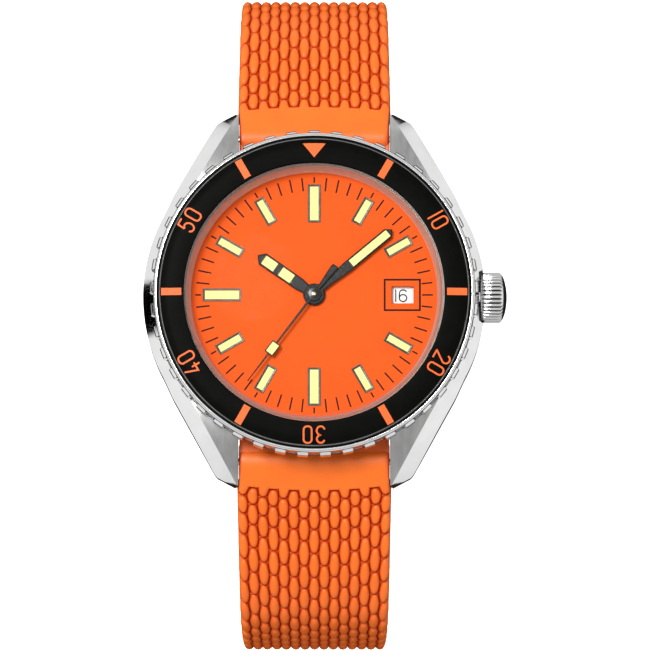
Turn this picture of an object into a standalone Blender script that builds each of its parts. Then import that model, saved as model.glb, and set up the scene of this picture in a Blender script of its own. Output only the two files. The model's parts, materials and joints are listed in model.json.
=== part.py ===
"""Dive watch on an open two-piece rubber strap.

The watch stands dial up on its strap, which is unbuckled and sprung into a loop.
Origin: on the axis of the hands, at the surface the strap stands on.
+Z out of the dial, +Y towards twelve o'clock, +X towards the crown.
Lengths below are millimetres; place() turns every piece into metres.
"""
import math

import bmesh
import bpy
from mathutils import Matrix, Vector

# ------------------------------------------------------------------ driving dimensions (mm)
BACK_Z = 54.0            # outer face of the case back above the surface
CASE_R = 21.4            # case flank radius
CASE_BOTTOM, CASE_TOP = 1.2, 7.5
LUG_HALF_GAP = 9.5       # 19 mm between the lugs
LUG_TIP_Y = 23.6
BAR_Y, BAR_Z = 20.4, 2.4  # spring bar axis
NECK_R = 17.9            # turret the bezel turns on
NECK_TOP = 9.75
BEZEL_IN, BEZEL_ROOT, BEZEL_TIP = 18.1, 20.02, 20.45
BEZEL_TEETH = 45
INSERT_IN, INSERT_OUT = 16.25, 19.7
CRYSTAL_R, CRYSTAL_TOP = 16.1, 13.6
DIAL_R, DIAL_BOTTOM, DIAL_TOP = 16.05, 7.1, 7.5
MOVEMENT_R = 12.85
CROWN_Z, CROWN_R = 4.7, 3.15
STRAP_T_FLAT = 2.6
STRAP_FLOOR = -BACK_Z + STRAP_T_FLAT / 2
TAIL_TIP_Y = 7.2         # how far the tail reaches past the middle
BUCKLE_BAR_Y = 18.2
BUCKLE_BAR_Z = -BACK_Z + 1.3
HOUR_DEG, MINUTE_DEG, SECOND_DEG = 304.3, 50.2, 217.2   # clockwise from twelve

TAU = 2 * math.pi
ROUND = 40               # facets of the large turned pieces, the same on nested ones so that their gaps stay even

for stale in list(bpy.data.objects):
    bpy.data.objects.remove(stale, do_unlink=True)

# ------------------------------------------------------------------ materials
def material(name, colour, rough, metal, alpha=1.0):
    m = bpy.data.materials.new(name)
    m.use_nodes = True
    p = m.node_tree.nodes["Principled BSDF"]
    p.inputs["Base Color"].default_value = (*colour, 1.0)
    p.inputs["Roughness"].default_value = rough
    p.inputs["Metallic"].default_value = metal
    p.inputs["Alpha"].default_value = alpha
    m.diffuse_color = (*colour, alpha)
    return m


STEEL = (0.62, 0.62, 0.61)
COLOURS = {
    "steel": (STEEL, 0.3, 1.0, 1.0),
    "polished": ((0.8, 0.8, 0.8), 0.12, 1.0, 1.0),
    "insert": ((0.006, 0.006, 0.006), 0.12, 0.0, 1.0),
    "glass": ((0.9, 0.95, 0.95), 0.02, 0.0, 0.25),
    "dial": ((0.95, 0.14, 0.02), 0.5, 0.0, 1.0),
    "hand": ((0.01, 0.01, 0.01), 0.25, 0.0, 1.0),
    "brass": ((0.72, 0.5, 0.2), 0.3, 1.0, 1.0),
    "rhodium": ((0.6, 0.6, 0.58), 0.35, 1.0, 1.0),
    "ruby": ((0.5, 0.02, 0.08), 0.1, 0.0, 1.0),
    "blued": ((0.05, 0.1, 0.4), 0.25, 1.0, 1.0),
    "white": ((0.9, 0.9, 0.88), 0.5, 0.0, 1.0),
    "seal": ((0.02, 0.02, 0.02), 0.7, 0.0, 1.0),
    "plastic": ((0.75, 0.75, 0.72), 0.5, 0.0, 1.0),
    "rubber": ((0.92, 0.17, 0.03), 0.5, 0.0, 1.0),
}


# ------------------------------------------------------------------ mesh helpers
def circle(r, n, phase=0.0):
    return [(r * math.cos(phase + TAU * i / n), r * math.sin(phase + TAU * i / n)) for i in range(n)]


def gear(teeth, pitch_r, addendum, points=2):
    """Outline of a toothed wheel: points per tooth is 2 (triangular) or 4 (trapezoid)."""
    out = []
    for i in range(teeth):
        a = TAU * i / teeth
        step = TAU / teeth
        if points == 2:
            out += [(pitch_r + addendum, a), (pitch_r - addendum, a + step / 2)]
        else:
            out += [
                (pitch_r + addendum, a - 0.12 * step), (pitch_r + addendum, a + 0.12 * step),
                (pitch_r - addendum, a + 0.32 * step), (pitch_r - addendum, a + 0.68 * step),
            ]
    return [(r * math.cos(a), r * math.sin(a)) for r, a in out]


def turned(outline, degrees):
    c, s = math.cos(math.radians(degrees)), math.sin(math.radians(degrees))
    return [(x * c - y * s, x * s + y * c) for x, y in outline]


def stitch(bm, a, b):
    """Faces between two closed loops round the local Z axis, whose counts may differ."""
    if len(a) == len(b):
        n = len(a)
        for i in range(n):
            bm.faces.new((a[i], a[(i + 1) % n], b[(i + 1) % n], b[i]))
        return

    def by_angle(loop):
        key = lambda v: (math.atan2(v.co.y, v.co.x) + 1e-6) % TAU
        k = min(range(len(loop)), key=lambda i: key(loop[i]))
        loop = loop[k:] + loop[:k]
        angles = [key(v) for v in loop]
        return loop, angles + [angles[0] + TAU]

    a, ta = by_angle(a)
    b, tb = by_angle(b)
    i = j = 0
    while i < len(a) or j < len(b):
        if j >= len(b) or (i < len(a) and ta[i + 1] <= tb[j + 1]):
            bm.faces.new((a[i % len(a)], a[(i + 1) % len(a)], b[j % len(b)]))
            i += 1
        else:
            bm.faces.new((a[i % len(a)], b[(j + 1) % len(b)], b[j % len(b)]))
            j += 1


def finish_mesh(bm, name, smooth=30.0):
    bmesh.ops.recalc_face_normals(bm, faces=bm.faces)
    me = bpy.data.meshes.new(name)
    bm.to_mesh(me)
    bm.free()
    if smooth:
        me.shade_smooth()
        me.set_sharp_from_angle(angle=math.radians(smooth))
    ob = bpy.data.objects.new(name, me)
    bpy.context.scene.collection.objects.link(ob)
    return ob


def stack(name, rings, closed=False):
    """A solid round the Z axis from (outline, height) rings. closed joins the last ring to the first."""
    bm = bmesh.new()
    loops = [[bm.verts.new((x, y, z)) for x, y in outline] for outline, z in rings]
    for a, b in zip(loops, loops[1:]):
        stitch(bm, a, b)
    if closed:
        stitch(bm, loops[-1], loops[0])
    else:
        for loop, (_, z) in ((loops[0], rings[0]), (loops[-1], rings[-1])):
            mid = bm.verts.new((0, 0, z))
            for i in range(len(loop)):
                bm.faces.new((loop[i], loop[(i + 1) % len(loop)], mid))
    return finish_mesh(bm, name)


def lathe(name, profile, n, closed=True):
    return stack(name, [(circle(r, n), z) for r, z in profile], closed)


def dome(name, outer, inner, n):
    """A shell of two turned profiles that each start on the axis and share their last point's rim."""
    bm = bmesh.new()
    loops = []
    for prof in (outer, inner):
        tip = bm.verts.new((0, 0, prof[0][1]))
        rows = [[bm.verts.new((x, y, z)) for x, y in circle(r, n)] for r, z in prof[1:]]
        for i in range(n):
            bm.faces.new((rows[0][i], rows[0][(i + 1) % n], tip))
        for a, b in zip(rows, rows[1:]):
            stitch(bm, a, b)
        loops.append(rows[-1])
    stitch(bm, loops[0], loops[1])
    return finish_mesh(bm, name)


def prism(name, outline, z0, z1, smooth=30.0):
    """A flat outline made solid between two heights."""
    bm = bmesh.new()
    low = [bm.verts.new((x, y, z0)) for x, y in outline]
    high = [bm.verts.new((x, y, z1)) for x, y in outline]
    bm.faces.new(low)
    bm.faces.new(high)
    stitch(bm, low, high)
    bmesh.ops.triangulate(bm, faces=[f for f in bm.faces if len(f.verts) > 4])
    return finish_mesh(bm, name, smooth)


def block(name, low, high):
    return prism(name, [(low[0], low[1]), (high[0], low[1]), (high[0], high[1]), (low[0], high[1])], low[2], high[2])


def rod(name, r, low, high, n=16, at=(0.0, 0.0)):
    ob = stack(name, [(circle(r, n), low), (circle(r, n), high)])
    ob.data.transform(Matrix.Translation((at[0], at[1], 0)))
    return ob


TO_X = Matrix.Rotation(math.pi / 2, 4, "Y")     # local Z becomes +X
TO_YZ = Matrix(((0, 0, 1, 0), (1, 0, 0, 0), (0, 1, 0, 0), (0, 0, 0, 1)))  # local x, y, z become Y, Z, X


def moved(ob, matrix):
    ob.data.transform(matrix)
    if matrix.to_3x3().determinant() < 0:
        ob.data.flip_normals()
    return ob


def boolean(ob, other, operation):
    mod = ob.modifiers.new("cut", "BOOLEAN")
    mod.operation = operation
    mod.object = other
    mod.solver = "EXACT"
    graph = bpy.context.evaluated_depsgraph_get()
    graph.update()
    mesh = bpy.data.meshes.new_from_object(ob.evaluated_get(graph))
    ob.modifiers.clear()
    old = ob.data
    ob.data = mesh
    bpy.data.meshes.remove(old)
    tool = other.data
    bpy.data.objects.remove(other, do_unlink=True)
    bpy.data.meshes.remove(tool)
    return ob


def cut(ob, *tools):
    for t in tools:
        boolean(ob, t, "DIFFERENCE")
    return ob


def join(ob, *others):
    for o in others:
        boolean(ob, o, "UNION")
    return ob


def place(ob, name, mat, axis_at=(0.0, 0.0, 0.0), smooth=30.0):
    """Names a piece, gives it its material, and stores it in metres with its origin at axis_at (head frame, mm)."""
    me = ob.data
    bm = bmesh.new()
    bm.from_mesh(me)
    bmesh.ops.remove_doubles(bm, verts=bm.verts, dist=1e-4)
    bmesh.ops.dissolve_degenerate(bm, edges=bm.edges, dist=1e-4)
    bmesh.ops.triangulate(bm, faces=[f for f in bm.faces if len(f.verts) > 4])
    bmesh.ops.recalc_face_normals(bm, faces=bm.faces)
    bm.to_mesh(me)
    bm.free()
    at = Vector(axis_at)
    me.transform(Matrix.Translation(-at))
    me.transform(Matrix.Scale(0.001, 4))
    me.shade_smooth()
    me.set_sharp_from_angle(angle=math.radians(smooth))
    ob.name = name
    me.name = name
    ob.location = (at + Vector((0, 0, BACK_Z))) * 0.001
    me.materials.clear()
    c, rough, metal, alpha = COLOURS[mat]
    me.materials.append(material(name, c, rough, metal, alpha))
    return ob


def clockwise(degrees, r):
    a = math.radians(degrees)
    return r * math.sin(a), r * math.cos(a)


def blade(name, half_widths, degrees, z0, z1):
    """A hand's blade from (radius, half width) pairs, pointing clockwise(degrees) from twelve."""
    right = [(w, r) for r, w in half_widths]
    left = [(-w, r) for r, w in reversed(half_widths)]
    return prism(name, turned(right + left, -degrees), z0, z1)


# ------------------------------------------------------------------ case
def lug_outline():
    """Plan of the case body and its four lugs, from one quarter mirrored twice."""
    quarter = [(CASE_R * math.cos(math.radians(a)), CASE_R * math.sin(math.radians(a))) for a in (0, 5, 10, 15, 20, 25, 30)]
    quarter += [(17.6, 12.8), (15.14, 17.2), (12.68, 21.6), (12.1, 22.4), (11.0, 23.0), (9.9, LUG_TIP_Y), (LUG_HALF_GAP, LUG_TIP_Y - 0.25),
                (LUG_HALF_GAP, 16.0)]
    top = quarter + [(-x, y) for x, y in reversed(quarter)]
    return top + [(-x, -y) for x, y in top[1:-1]]


CASE_LINE = [(0, CASE_TOP), (12.5, CASE_TOP), (15.0, 7.15), (17.5, 6.35), (19.7, 5.3), (21.5, 4.25), (23.0, 3.05), (23.9, 2.2)]


def case_side():
    """Side profile in Y and Z: flat over the movement, curving down to the lug tips."""
    low = [(23.9, 0.75), (22.6, 0.3), (20.0, 0.35), (17.0, 0.85), (14.0, CASE_BOTTOM), (0, CASE_BOTTOM)]
    half = CASE_LINE + low
    return half + [(-y, z) for y, z in reversed(half[1:-1])]


case = prism("case", lug_outline(), -2, 12)
side = moved(prism("side", case_side(), -30, 30), TO_YZ)
boolean(case, side, "INTERSECT")

def polar(r, degrees):
    return r * math.cos(math.radians(degrees)), r * math.sin(math.radians(degrees))


# polished bevel down the whole outer side of the case, from lug tip to lug tip
RIDGE_R, RIDGE_DEG, BEVEL_DEG = 19.86, 29.2, 50.0


def case_height(y):
    """Height of the case's top face at a distance y from the middle."""
    y = abs(y)
    for (y0, z0), (y1, z1) in zip(CASE_LINE, CASE_LINE[1:]):
        if y <= y1:
            return z0 + (z1 - z0) * (y - y0) / (y1 - y0)
    return CASE_LINE[-1][1] - (y - CASE_LINE[-1][0]) * 0.94


def ridge_stations():
    """Points of the ridge with its outward direction: straight over a lug, round the flank, straight over the other lug."""
    c, sn = math.cos(math.radians(RIDGE_DEG)), math.sin(math.radians(RIDGE_DEG))
    lug = [((RIDGE_R - y * sn) / c, y, RIDGE_DEG) for y in (25.5, 23.9, 23.0, 21.5, 19.7, 17.5, 15.0, 12.5)]
    arc = [(*polar(RIDGE_R, a), a) for a in (RIDGE_DEG, 20, 10, 0, -10, -20, -RIDGE_DEG)]
    return lug + arc + [(x, -y, -a) for x, y, a in reversed(lug)]


for sx in (1, -1):
    bm = bmesh.new()
    rows = []
    for x, y, a in ridge_stations():
        nx, ny = polar(1, a)
        z = case_height(y)
        t = math.radians(BEVEL_DEG)
        section = [(-0.1 * math.cos(t), z + 0.1 * math.sin(t)), (7 * math.cos(t), z - 7 * math.sin(t)), (7.0, z + 6), (-0.1 * math.cos(t), z + 6)]
        rows.append([bm.verts.new((sx * (x + d * nx), y + d * ny, h)) for d, h in section])
    for p, q in zip(rows, rows[1:]):
        stitch(bm, p, q)
    bm.faces.new(rows[0])
    bm.faces.new(rows[-1])
    cut(case, finish_mesh(bm, "flank"))

# steep facet across each lug tip
bm = bmesh.new()
bm.from_mesh(case.data)
for sx in (1, -1):
    for sy in (1, -1):
        steep = math.radians(65)
        normal = Vector((0.4125 * sx * math.sin(steep), 0.911 * sy * math.sin(steep), math.cos(steep)))
        geom = bm.verts[:] + bm.edges[:] + bm.faces[:]
        bmesh.ops.bisect_plane(bm, geom=geom, plane_co=Vector((10.71 * sx, 22.56 * sy, 3.4)), plane_no=normal, clear_outer=True, dist=1e-5)
        bmesh.ops.holes_fill(bm, edges=[e for e in bm.edges if e.is_boundary], sides=0)
bmesh.ops.triangulate(bm, faces=[f for f in bm.faces if len(f.verts) > 4])
bmesh.ops.recalc_face_normals(bm, faces=bm.faces)
bm.to_mesh(case.data)
bm.free()

join(case, lathe("neck", [(16.3, 7.0), (NECK_R, 7.0), (NECK_R, 8.5), (17.6, 8.6), (17.6, 9.05), (NECK_R, 9.1), (NECK_R, NECK_TOP), (16.3, NECK_TOP)], ROUND))
cavity = stack("cavity", [(circle(16.75, ROUND), -1), (circle(16.75, ROUND), 1.65), (circle(15.6, ROUND), 1.65), (circle(15.6, ROUND), 6.95),
                          (circle(16.15, ROUND), 6.95), (circle(16.15, ROUND), 9.3), (circle(16.75, ROUND), 9.3), (circle(16.75, ROUND), 12)])
cut(case, cavity)
cut(case, moved(rod("tube_hole", 1.3, 12, 24, 20), Matrix.Translation((0, 0, CROWN_Z)) @ TO_X))
cut(case, block("crown_flat", (20.55, -8, -3), (26, 8, 12)))
for sy in (1, -1):
    wall = stack("between_lugs", [(circle(30, 48), -3), (circle(30, 48), 7.45), (circle(18.15, 72), 7.45), (circle(18.15, 72), -3)], closed=True)
    keep = block("keep", (-LUG_HALF_GAP, sy * 24 - 11, -4), (LUG_HALF_GAP, sy * 24 + 11, 12))
    boolean(wall, keep, "INTERSECT")
    cut(case, wall)
    cut(case, moved(rod("bar_hole", 0.6, -10.75, 10.75, 12), Matrix.Translation((0, sy * BAR_Y, BAR_Z)) @ TO_X))
place(case, "case_middle", "steel", smooth=20)

# screw-down back with six wrench notches
back = stack("back", [(circle(14.3, ROUND), 0), (circle(16.2, ROUND), 0.5), (circle(16.5, ROUND), 0.8), (circle(16.5, ROUND), 1.55), (circle(15.45, ROUND), 1.55),
                      (circle(15.45, ROUND), 2.85), (circle(14.9, ROUND), 2.85), (circle(14.9, ROUND), 1.6)])
for k in range(6):
    cut(back, moved(block("notch", (-1.1, 14.7, -0.5), (1.1, 17.5, 0.62)), Matrix.Rotation(TAU * k / 6 + 0.26, 4, "Z")))
place(back, "case_back", "steel")
place(lathe("seal", [(15.68, 1.57), (16.62, 1.57), (16.62, 1.63), (15.68, 1.63)], ROUND), "case_back_gasket", "seal")

# ------------------------------------------------------------------ bezel
def bezel_outline(tip, root):
    out = []
    for k in range(BEZEL_TEETH):
        mid = math.radians(90 + 8 * k)
        out += [(root, mid - math.radians(2.35)), (tip, mid - math.radians(1.8)), (tip, mid + math.radians(1.8)), (root, mid + math.radians(2.35))]
    return [(r * math.cos(a), r * math.sin(a)) for r, a in out]


bezel = stack("bezel", [
    (bezel_outline(BEZEL_TIP, 20.0), 7.8), (bezel_outline(BEZEL_TIP, BEZEL_ROOT), 10.0), (circle(BEZEL_ROOT - 0.02, ROUND), 10.35),
    (circle(19.95, ROUND), 10.68), (circle(19.74, ROUND), 10.72), (circle(19.74, ROUND), 10.28), (circle(16.3, ROUND), 10.28),
    (circle(16.3, ROUND), 9.85), (circle(18.1, ROUND), 9.85), (circle(18.1, ROUND), 9.12), (circle(18.38, ROUND), 9.05), (circle(18.38, ROUND), 8.6),
    (circle(18.1, ROUND), 8.5), (circle(18.1, ROUND), 7.8)], closed=True)
place(bezel, "bezel_ring", "steel")
place(lathe("insert", [(INSERT_IN, 10.32), (INSERT_OUT, 10.32), (INSERT_OUT, 10.66), (INSERT_OUT - 0.15, 10.74), (INSERT_IN + 0.15, 11.05), (INSERT_IN, 10.98)], ROUND), "bezel_insert", "insert")


def arc_strip(name, r0, r1, z0, z1, start, end, steps):
    """A flat strip bent round the Z axis between two angles in degrees."""
    bm = bmesh.new()
    rows = []
    for k in range(steps + 1):
        a = math.radians(start + (end - start) * k / steps)
        rows.append([bm.verts.new((r * math.cos(a), r * math.sin(a), z)) for r, z in ((r0, z0), (r1, z0), (r1, z1), (r0, z1))])
    for a, b in zip(rows, rows[1:]):
        stitch(bm, a, b)
    bm.faces.new(rows[0])
    bm.faces.new(rows[-1])
    return finish_mesh(bm, name)


place(arc_strip("wire", 17.68, 18.3, 8.7, 8.98, 8, 352, 40), "bezel_retaining_spring", "polished")
place(arc_strip("click", 18.35, 19.6, 7.54, 7.68, 200, 262, 10), "bezel_click_spring", "polished")

# ------------------------------------------------------------------ crystal, flange and dial
outer = [(0, CRYSTAL_TOP)]
for k in range(1, 5):
    r = 15.9 * k / 4
    outer.append((r, 11.45 + (CRYSTAL_TOP - 11.45) * (1 - (r / 15.9) ** 2)))
outer += [(CRYSTAL_R, 11.2), (CRYSTAL_R, 9.34)]
inner = [(0, 12.0)]
for k in range(1, 4):
    r = 15.2 * k / 3
    inner.append((r, 9.95 + 2.05 * (1 - (r / 15.2) ** 2)))
inner += [(15.3, 9.34)]
place(dome("crystal", outer, inner, ROUND), "crystal", "glass")
place(lathe("crystal_seal", [(16.16, 9.36), (16.7, 9.36), (16.7, 9.74), (16.16, 9.74)], ROUND), "crystal_gasket", "plastic")
place(lathe("flange", [(15.35, 7.53), (16.08, 7.53), (16.08, 9.3), (15.98, 9.3), (15.35, 7.8)], ROUND), "rehaut_ring", "polished")

dial = stack("dial", [(circle(1.0, 24), DIAL_BOTTOM), (circle(DIAL_R, ROUND), DIAL_BOTTOM), (circle(DIAL_R, ROUND), DIAL_TOP), (circle(1.0, 24), DIAL_TOP)], closed=True)
for hour in range(12):
    if hour == 3:
        continue
    low, wide = (9.15, 0.8) if hour in (0, 6, 9) else (10.35, 0.68)
    marker = block("marker", (-wide, low, DIAL_TOP - 0.1), (wide, 13.9, DIAL_TOP + 0.12))
    join(dial, moved(marker, Matrix.Rotation(-TAU * hour / 12, 4, "Z")))
cut(dial, block("date_window", (9.72, -1.04, 5), (12.38, 1.04, 9)))
place(dial, "dial", "dial", smooth=20)

disc = stack("date", [(turned(gear(31, 9.25, 0.25), 3), 6.42), (circle(12.7, 31), 6.42), (circle(12.7, 31), 6.68), (turned(gear(31, 9.25, 0.25), 3), 6.68)], closed=True)
place(disc, "date_disc", "white")

# ------------------------------------------------------------------ hands
hour = lathe("hour_hub", [(0.95, 7.74), (1.4, 7.74), (1.4, 7.98), (0.95, 7.98)], 24)
join(hour, blade("hour_blade", [(1.2, 0.62), (2.2, 0.79), (7.75, 0.79), (8.5, 0.25)], HOUR_DEG, 7.76, 7.96))
place(hour, "hour_hand", "hand")
minute = lathe("minute_hub", [(0.65, 8.1), (1.25, 8.1), (1.25, 8.34), (0.65, 8.34)], 24)
join(minute, blade("minute_blade", [(1.0, 0.5), (5.6, 0.68), (12.05, 0.68), (12.7, 0.22)], MINUTE_DEG, 8.12, 8.32))
place(minute, "minute_hand", "hand")
second = lathe("second_hub", [(0.16, 8.46), (0.95, 8.46), (0.95, 8.7), (0.16, 8.7)], 20)
join(second, blade("second_blade", [(0.8, 0.12), (7.85, 0.12), (7.86, 0.62), (9.35, 0.62), (9.36, 0.12), (13.7, 0.1)], SECOND_DEG, 8.5, 8.64))
join(second, blade("second_tail", [(0.8, 0.25), (4.2, 0.45), (4.5, 0.3)], SECOND_DEG - 180, 8.5, 8.64))
place(second, "seconds_hand", "hand")

# ------------------------------------------------------------------ movement
CENTRE_TEETH, THIRD_PINION = 64, 8
THIRD_TEETH, FOURTH_PINION = 60, 8
FOURTH_TEETH, ESCAPE_PINION = 84, 7
BARREL_TEETH, CENTRE_PINION = 72, 12
CANNON_TEETH, MINUTE_WHEEL_TEETH, MINUTE_PINION, HOUR_WHEEL_TEETH = 12, 36, 10, 40


def pitch(distance, a, b):
    """Pitch radii of two meshed wheels with a and b teeth."""
    return distance * a / (a + b), distance * b / (a + b)


THIRD_AT = polar(3.6, 60)
ESCAPE_AT = polar(3.87, -80)
BARREL_AT = polar(5.67, 160)
BALANCE_AT = polar(8.45, -80)
PALLET_AT = polar(6.25, -80)
MINUTE_WHEEL_AT = polar(2.9, -35)
R_CENTRE, R_THIRD_PINION = pitch(3.6, CENTRE_TEETH, THIRD_PINION)
R_THIRD, R_FOURTH_PINION = pitch(3.6, THIRD_TEETH, FOURTH_PINION)
R_FOURTH, R_ESCAPE_PINION = pitch(3.87, FOURTH_TEETH, ESCAPE_PINION)
R_BARREL, R_CENTRE_PINION = pitch(5.67, BARREL_TEETH, CENTRE_PINION)
R_CANNON, R_MINUTE_WHEEL = pitch(2.9, CANNON_TEETH, MINUTE_WHEEL_TEETH)
R_MINUTE_PINION, R_HOUR_WHEEL = pitch(2.9, MINUTE_PINION, HOUR_WHEEL_TEETH)


def facing(outline_teeth, towards, gap):
    """Degrees to turn a wheel so that a tooth, or a gap between teeth, faces a direction."""
    return towards + (180.0 / outline_teeth if gap else 0.0)


def at(ob, xy):
    return moved(ob, Matrix.Translation((xy[0], xy[1], 0)))


ring = lathe("ring", [(12.98, 3.0), (15.5, 3.0), (15.5, 6.9), (12.98, 6.9)], ROUND)
cut(ring, block("stem_way", (10, -1.7, 3.5), (18, 1.7, 6.0)))
place(ring, "movement_ring", "plastic")

plate = lathe("plate", [(0.72, 5.5), (MOVEMENT_R, 5.5), (MOVEMENT_R, 6.3), (0.72, 6.3)], ROUND)
join(plate, rod("minute_post", 0.2, 6.0, 6.98, 12, MINUTE_WHEEL_AT))
cut(plate, block("stem_slot", (7.4, -1.25, 4.0), (13.5, 1.25, 5.95)))
place(plate, "mainplate", "brass")


def sector(r, start, end, steps=24):
    return [polar(r, start + (end - start) * k / steps) for k in range(steps + 1)]


train = prism("train", sector(12.6, -23, 203), 2.42, 2.88)
for spot in (polar(11.3, 75), polar(11.6, -12), polar(11.75, 195)):
    join(train, rod("pillar", 0.8, 2.6, 5.46, 14, spot))
place(train, "train_bridge", "rhodium")
cock = prism("cock", sector(12.6, -150, -60, 12) + [(5.2, -5.4), (-4.5, -5.4)], 2.42, 2.88)
join(cock, rod("cock_pillar", 0.9, 2.6, 5.46, 14, polar(11.2, -125)))
place(cock, "balance_cock", "rhodium")
place(rod("bearing", 0.8, 1.68, 2.38, 20), "rotor_bearing", "polished")

barrel = stack("barrel", [(circle(0.5, 12), 3.0), (circle(0.5, 12), 3.92), (circle(4.25, 36), 3.92), (circle(4.25, 36), 4.92),
                          (turned(gear(BARREL_TEETH, R_BARREL, 0.1), 160 - 180), 4.92), (turned(gear(BARREL_TEETH, R_BARREL, 0.1), 160 - 180), 5.2),
                          (circle(0.5, 12), 5.2), (circle(0.5, 12), 5.46)])
place(at(barrel, BARREL_AT), "mainspring_barrel", "brass", (*BARREL_AT, 0))
centre_turn = facing(CENTRE_PINION, 160, True)
centre = stack("centre", [(circle(0.36, 16), 3.55), (turned(gear(CENTRE_TEETH, R_CENTRE, 0.09), 60 + 180 / CENTRE_TEETH), 3.65),
                          (turned(gear(CENTRE_TEETH, R_CENTRE, 0.09), 60 + 180 / CENTRE_TEETH), 3.8), (circle(0.36, 16), 3.8), (circle(0.36, 16), 4.85),
                          (turned(gear(CENTRE_PINION, R_CENTRE_PINION, 0.12, 4), centre_turn), 4.85), (turned(gear(CENTRE_PINION, R_CENTRE_PINION, 0.12, 4), centre_turn), 5.3),
                          (circle(0.36, 16), 5.3), (circle(0.36, 16), 6.36), (circle(0.22, 16), 6.36), (circle(0.22, 16), 3.55)], closed=True)
place(centre, "centre_wheel", "brass")
third = stack("third", [(circle(0.13, 8), 2.92), (circle(0.13, 8), 3.3), (turned(gear(THIRD_TEETH, R_THIRD, 0.09), 240), 3.3), (turned(gear(THIRD_TEETH, R_THIRD, 0.09), 240), 3.45),
                        (turned(gear(THIRD_PINION, R_THIRD_PINION, 0.09, 4), 240), 3.45), (turned(gear(THIRD_PINION, R_THIRD_PINION, 0.09, 4), 240), 3.9),
                        (circle(0.13, 8), 3.9), (circle(0.13, 8), 5.46)])
place(at(third, THIRD_AT), "third_wheel", "brass", (*THIRD_AT, 0))
fourth = stack("fourth", [(circle(0.12, 8), 2.92), (circle(0.12, 8), 3.0), (turned(gear(FOURTH_TEETH, R_FOURTH, 0.07), -80), 3.0), (turned(gear(FOURTH_TEETH, R_FOURTH, 0.07), -80), 3.15),
                          (circle(0.2, 12), 3.15), (circle(0.2, 12), 3.22), (turned(gear(FOURTH_PINION, R_FOURTH_PINION, 0.09, 4), 60 + 180 / FOURTH_PINION), 3.22),
                          (turned(gear(FOURTH_PINION, R_FOURTH_PINION, 0.09, 4), 60 + 180 / FOURTH_PINION), 3.5), (circle(0.13, 12), 3.5), (circle(0.13, 12), 8.74)])
place(fourth, "fourth_wheel", "brass")
escape_pinion = turned(gear(ESCAPE_PINION, R_ESCAPE_PINION, 0.07, 4), 100 + 180 / ESCAPE_PINION)
escape = stack("escape", [(circle(0.1, 8), 2.92), (escape_pinion, 2.95), (escape_pinion, 3.35), (circle(0.1, 8), 3.35), (circle(0.1, 8), 4.1),
                          (gear(20, 1.75, 0.2), 4.1), (gear(20, 1.75, 0.2), 4.25), (circle(0.1, 8), 4.25), (circle(0.1, 8), 5.46)])
place(at(escape, ESCAPE_AT), "escape_wheel", "polished", (*ESCAPE_AT, 0))

# pallet fork: two arms towards the escape wheel and a lever towards the balance
fork = prism("fork", [(-1.15, -0.62), (-0.85, -0.72), (-0.35, -0.15), (0.35, -0.15), (0.85, -0.72), (1.15, -0.62), (0.6, 0.12), (0.14, 0.25),
                      (0.12, 1.35), (0.28, 1.55), (0.2, 1.72), (0.0, 1.5), (-0.2, 1.72), (-0.28, 1.55), (-0.12, 1.35), (-0.14, 0.25), (-0.6, 0.12)], 4.38, 4.52)
join(fork, rod("fork_staff", 0.13, 4.3, 5.46, 8))
fork = moved(fork, Matrix.Translation((*PALLET_AT, 0)) @ Matrix.Rotation(math.radians(-80 - 90), 4, "Z"))
place(fork, "pallet_fork", "polished", (*PALLET_AT, 0))

rim = lathe("rim", [(3.35, 3.5), (3.9, 3.5), (3.9, 3.85), (3.35, 3.85)], 40)
join(rim, moved(block("arms", (-3.6, -0.25, 3.58), (3.6, 0.25, 3.76)), Matrix.Rotation(math.radians(20), 4, "Z")))
join(rim, stack("staff", [(circle(0.1, 10), 2.92), (circle(0.1, 10), 3.45), (circle(0.4, 12), 3.45), (circle(0.4, 12), 3.9), (circle(0.1, 10), 3.9), (circle(0.1, 10), 5.46)]))
place(at(rim, BALANCE_AT), "balance_wheel", "brass", (*BALANCE_AT, 0))


def spiral(name, r0, r1, coils, z0, z1, wire, per_coil):
    bm = bmesh.new()
    rows = []
    total = coils * per_coil
    for k in range(total + 1):
        a, r = TAU * k / per_coil, r0 + (r1 - r0) * k / total
        rows.append([bm.verts.new(((r + w) * math.cos(a), (r + w) * math.sin(a), z)) for w, z in ((0, z0), (wire, z0), (wire, z1), (0, z1))])
    for a, b in zip(rows, rows[1:]):
        stitch(bm, a, b)
    bm.faces.new(rows[0])
    bm.faces.new(rows[-1])
    return finish_mesh(bm, name)


place(at(spiral("hair", 0.16, 2.3, 4, 3.12, 3.3, 0.06, 12), BALANCE_AT), "hairspring", "blued", (*BALANCE_AT, 0))

# motion works under the dial
cannon_turn = facing(CANNON_TEETH, -35, True)
cannon = stack("cannon", [(circle(0.4, 16), 6.42), (turned(gear(CANNON_TEETH, R_CANNON, 0.1, 4), cannon_turn), 6.42), (turned(gear(CANNON_TEETH, R_CANNON, 0.1, 4), cannon_turn), 6.66),
                          (circle(0.6, 16), 6.66), (circle(0.6, 16), 8.36), (circle(0.2, 16), 8.36), (circle(0.2, 16), 6.42)], closed=True)
place(cannon, "cannon_pinion", "polished")
wheel_turn = facing(MINUTE_WHEEL_TEETH, 145, False)
mw = stack("motion", [(circle(0.26, 12), 6.36), (turned(gear(MINUTE_WHEEL_TEETH, R_MINUTE_WHEEL, 0.1), wheel_turn), 6.36), (turned(gear(MINUTE_WHEEL_TEETH, R_MINUTE_WHEEL, 0.1), wheel_turn), 6.56),
                      (turned(gear(MINUTE_PINION, R_MINUTE_PINION, 0.1, 4), 145), 6.56), (turned(gear(MINUTE_PINION, R_MINUTE_PINION, 0.1, 4), 145), 6.96), (circle(0.26, 12), 6.96)], closed=True)
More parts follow.
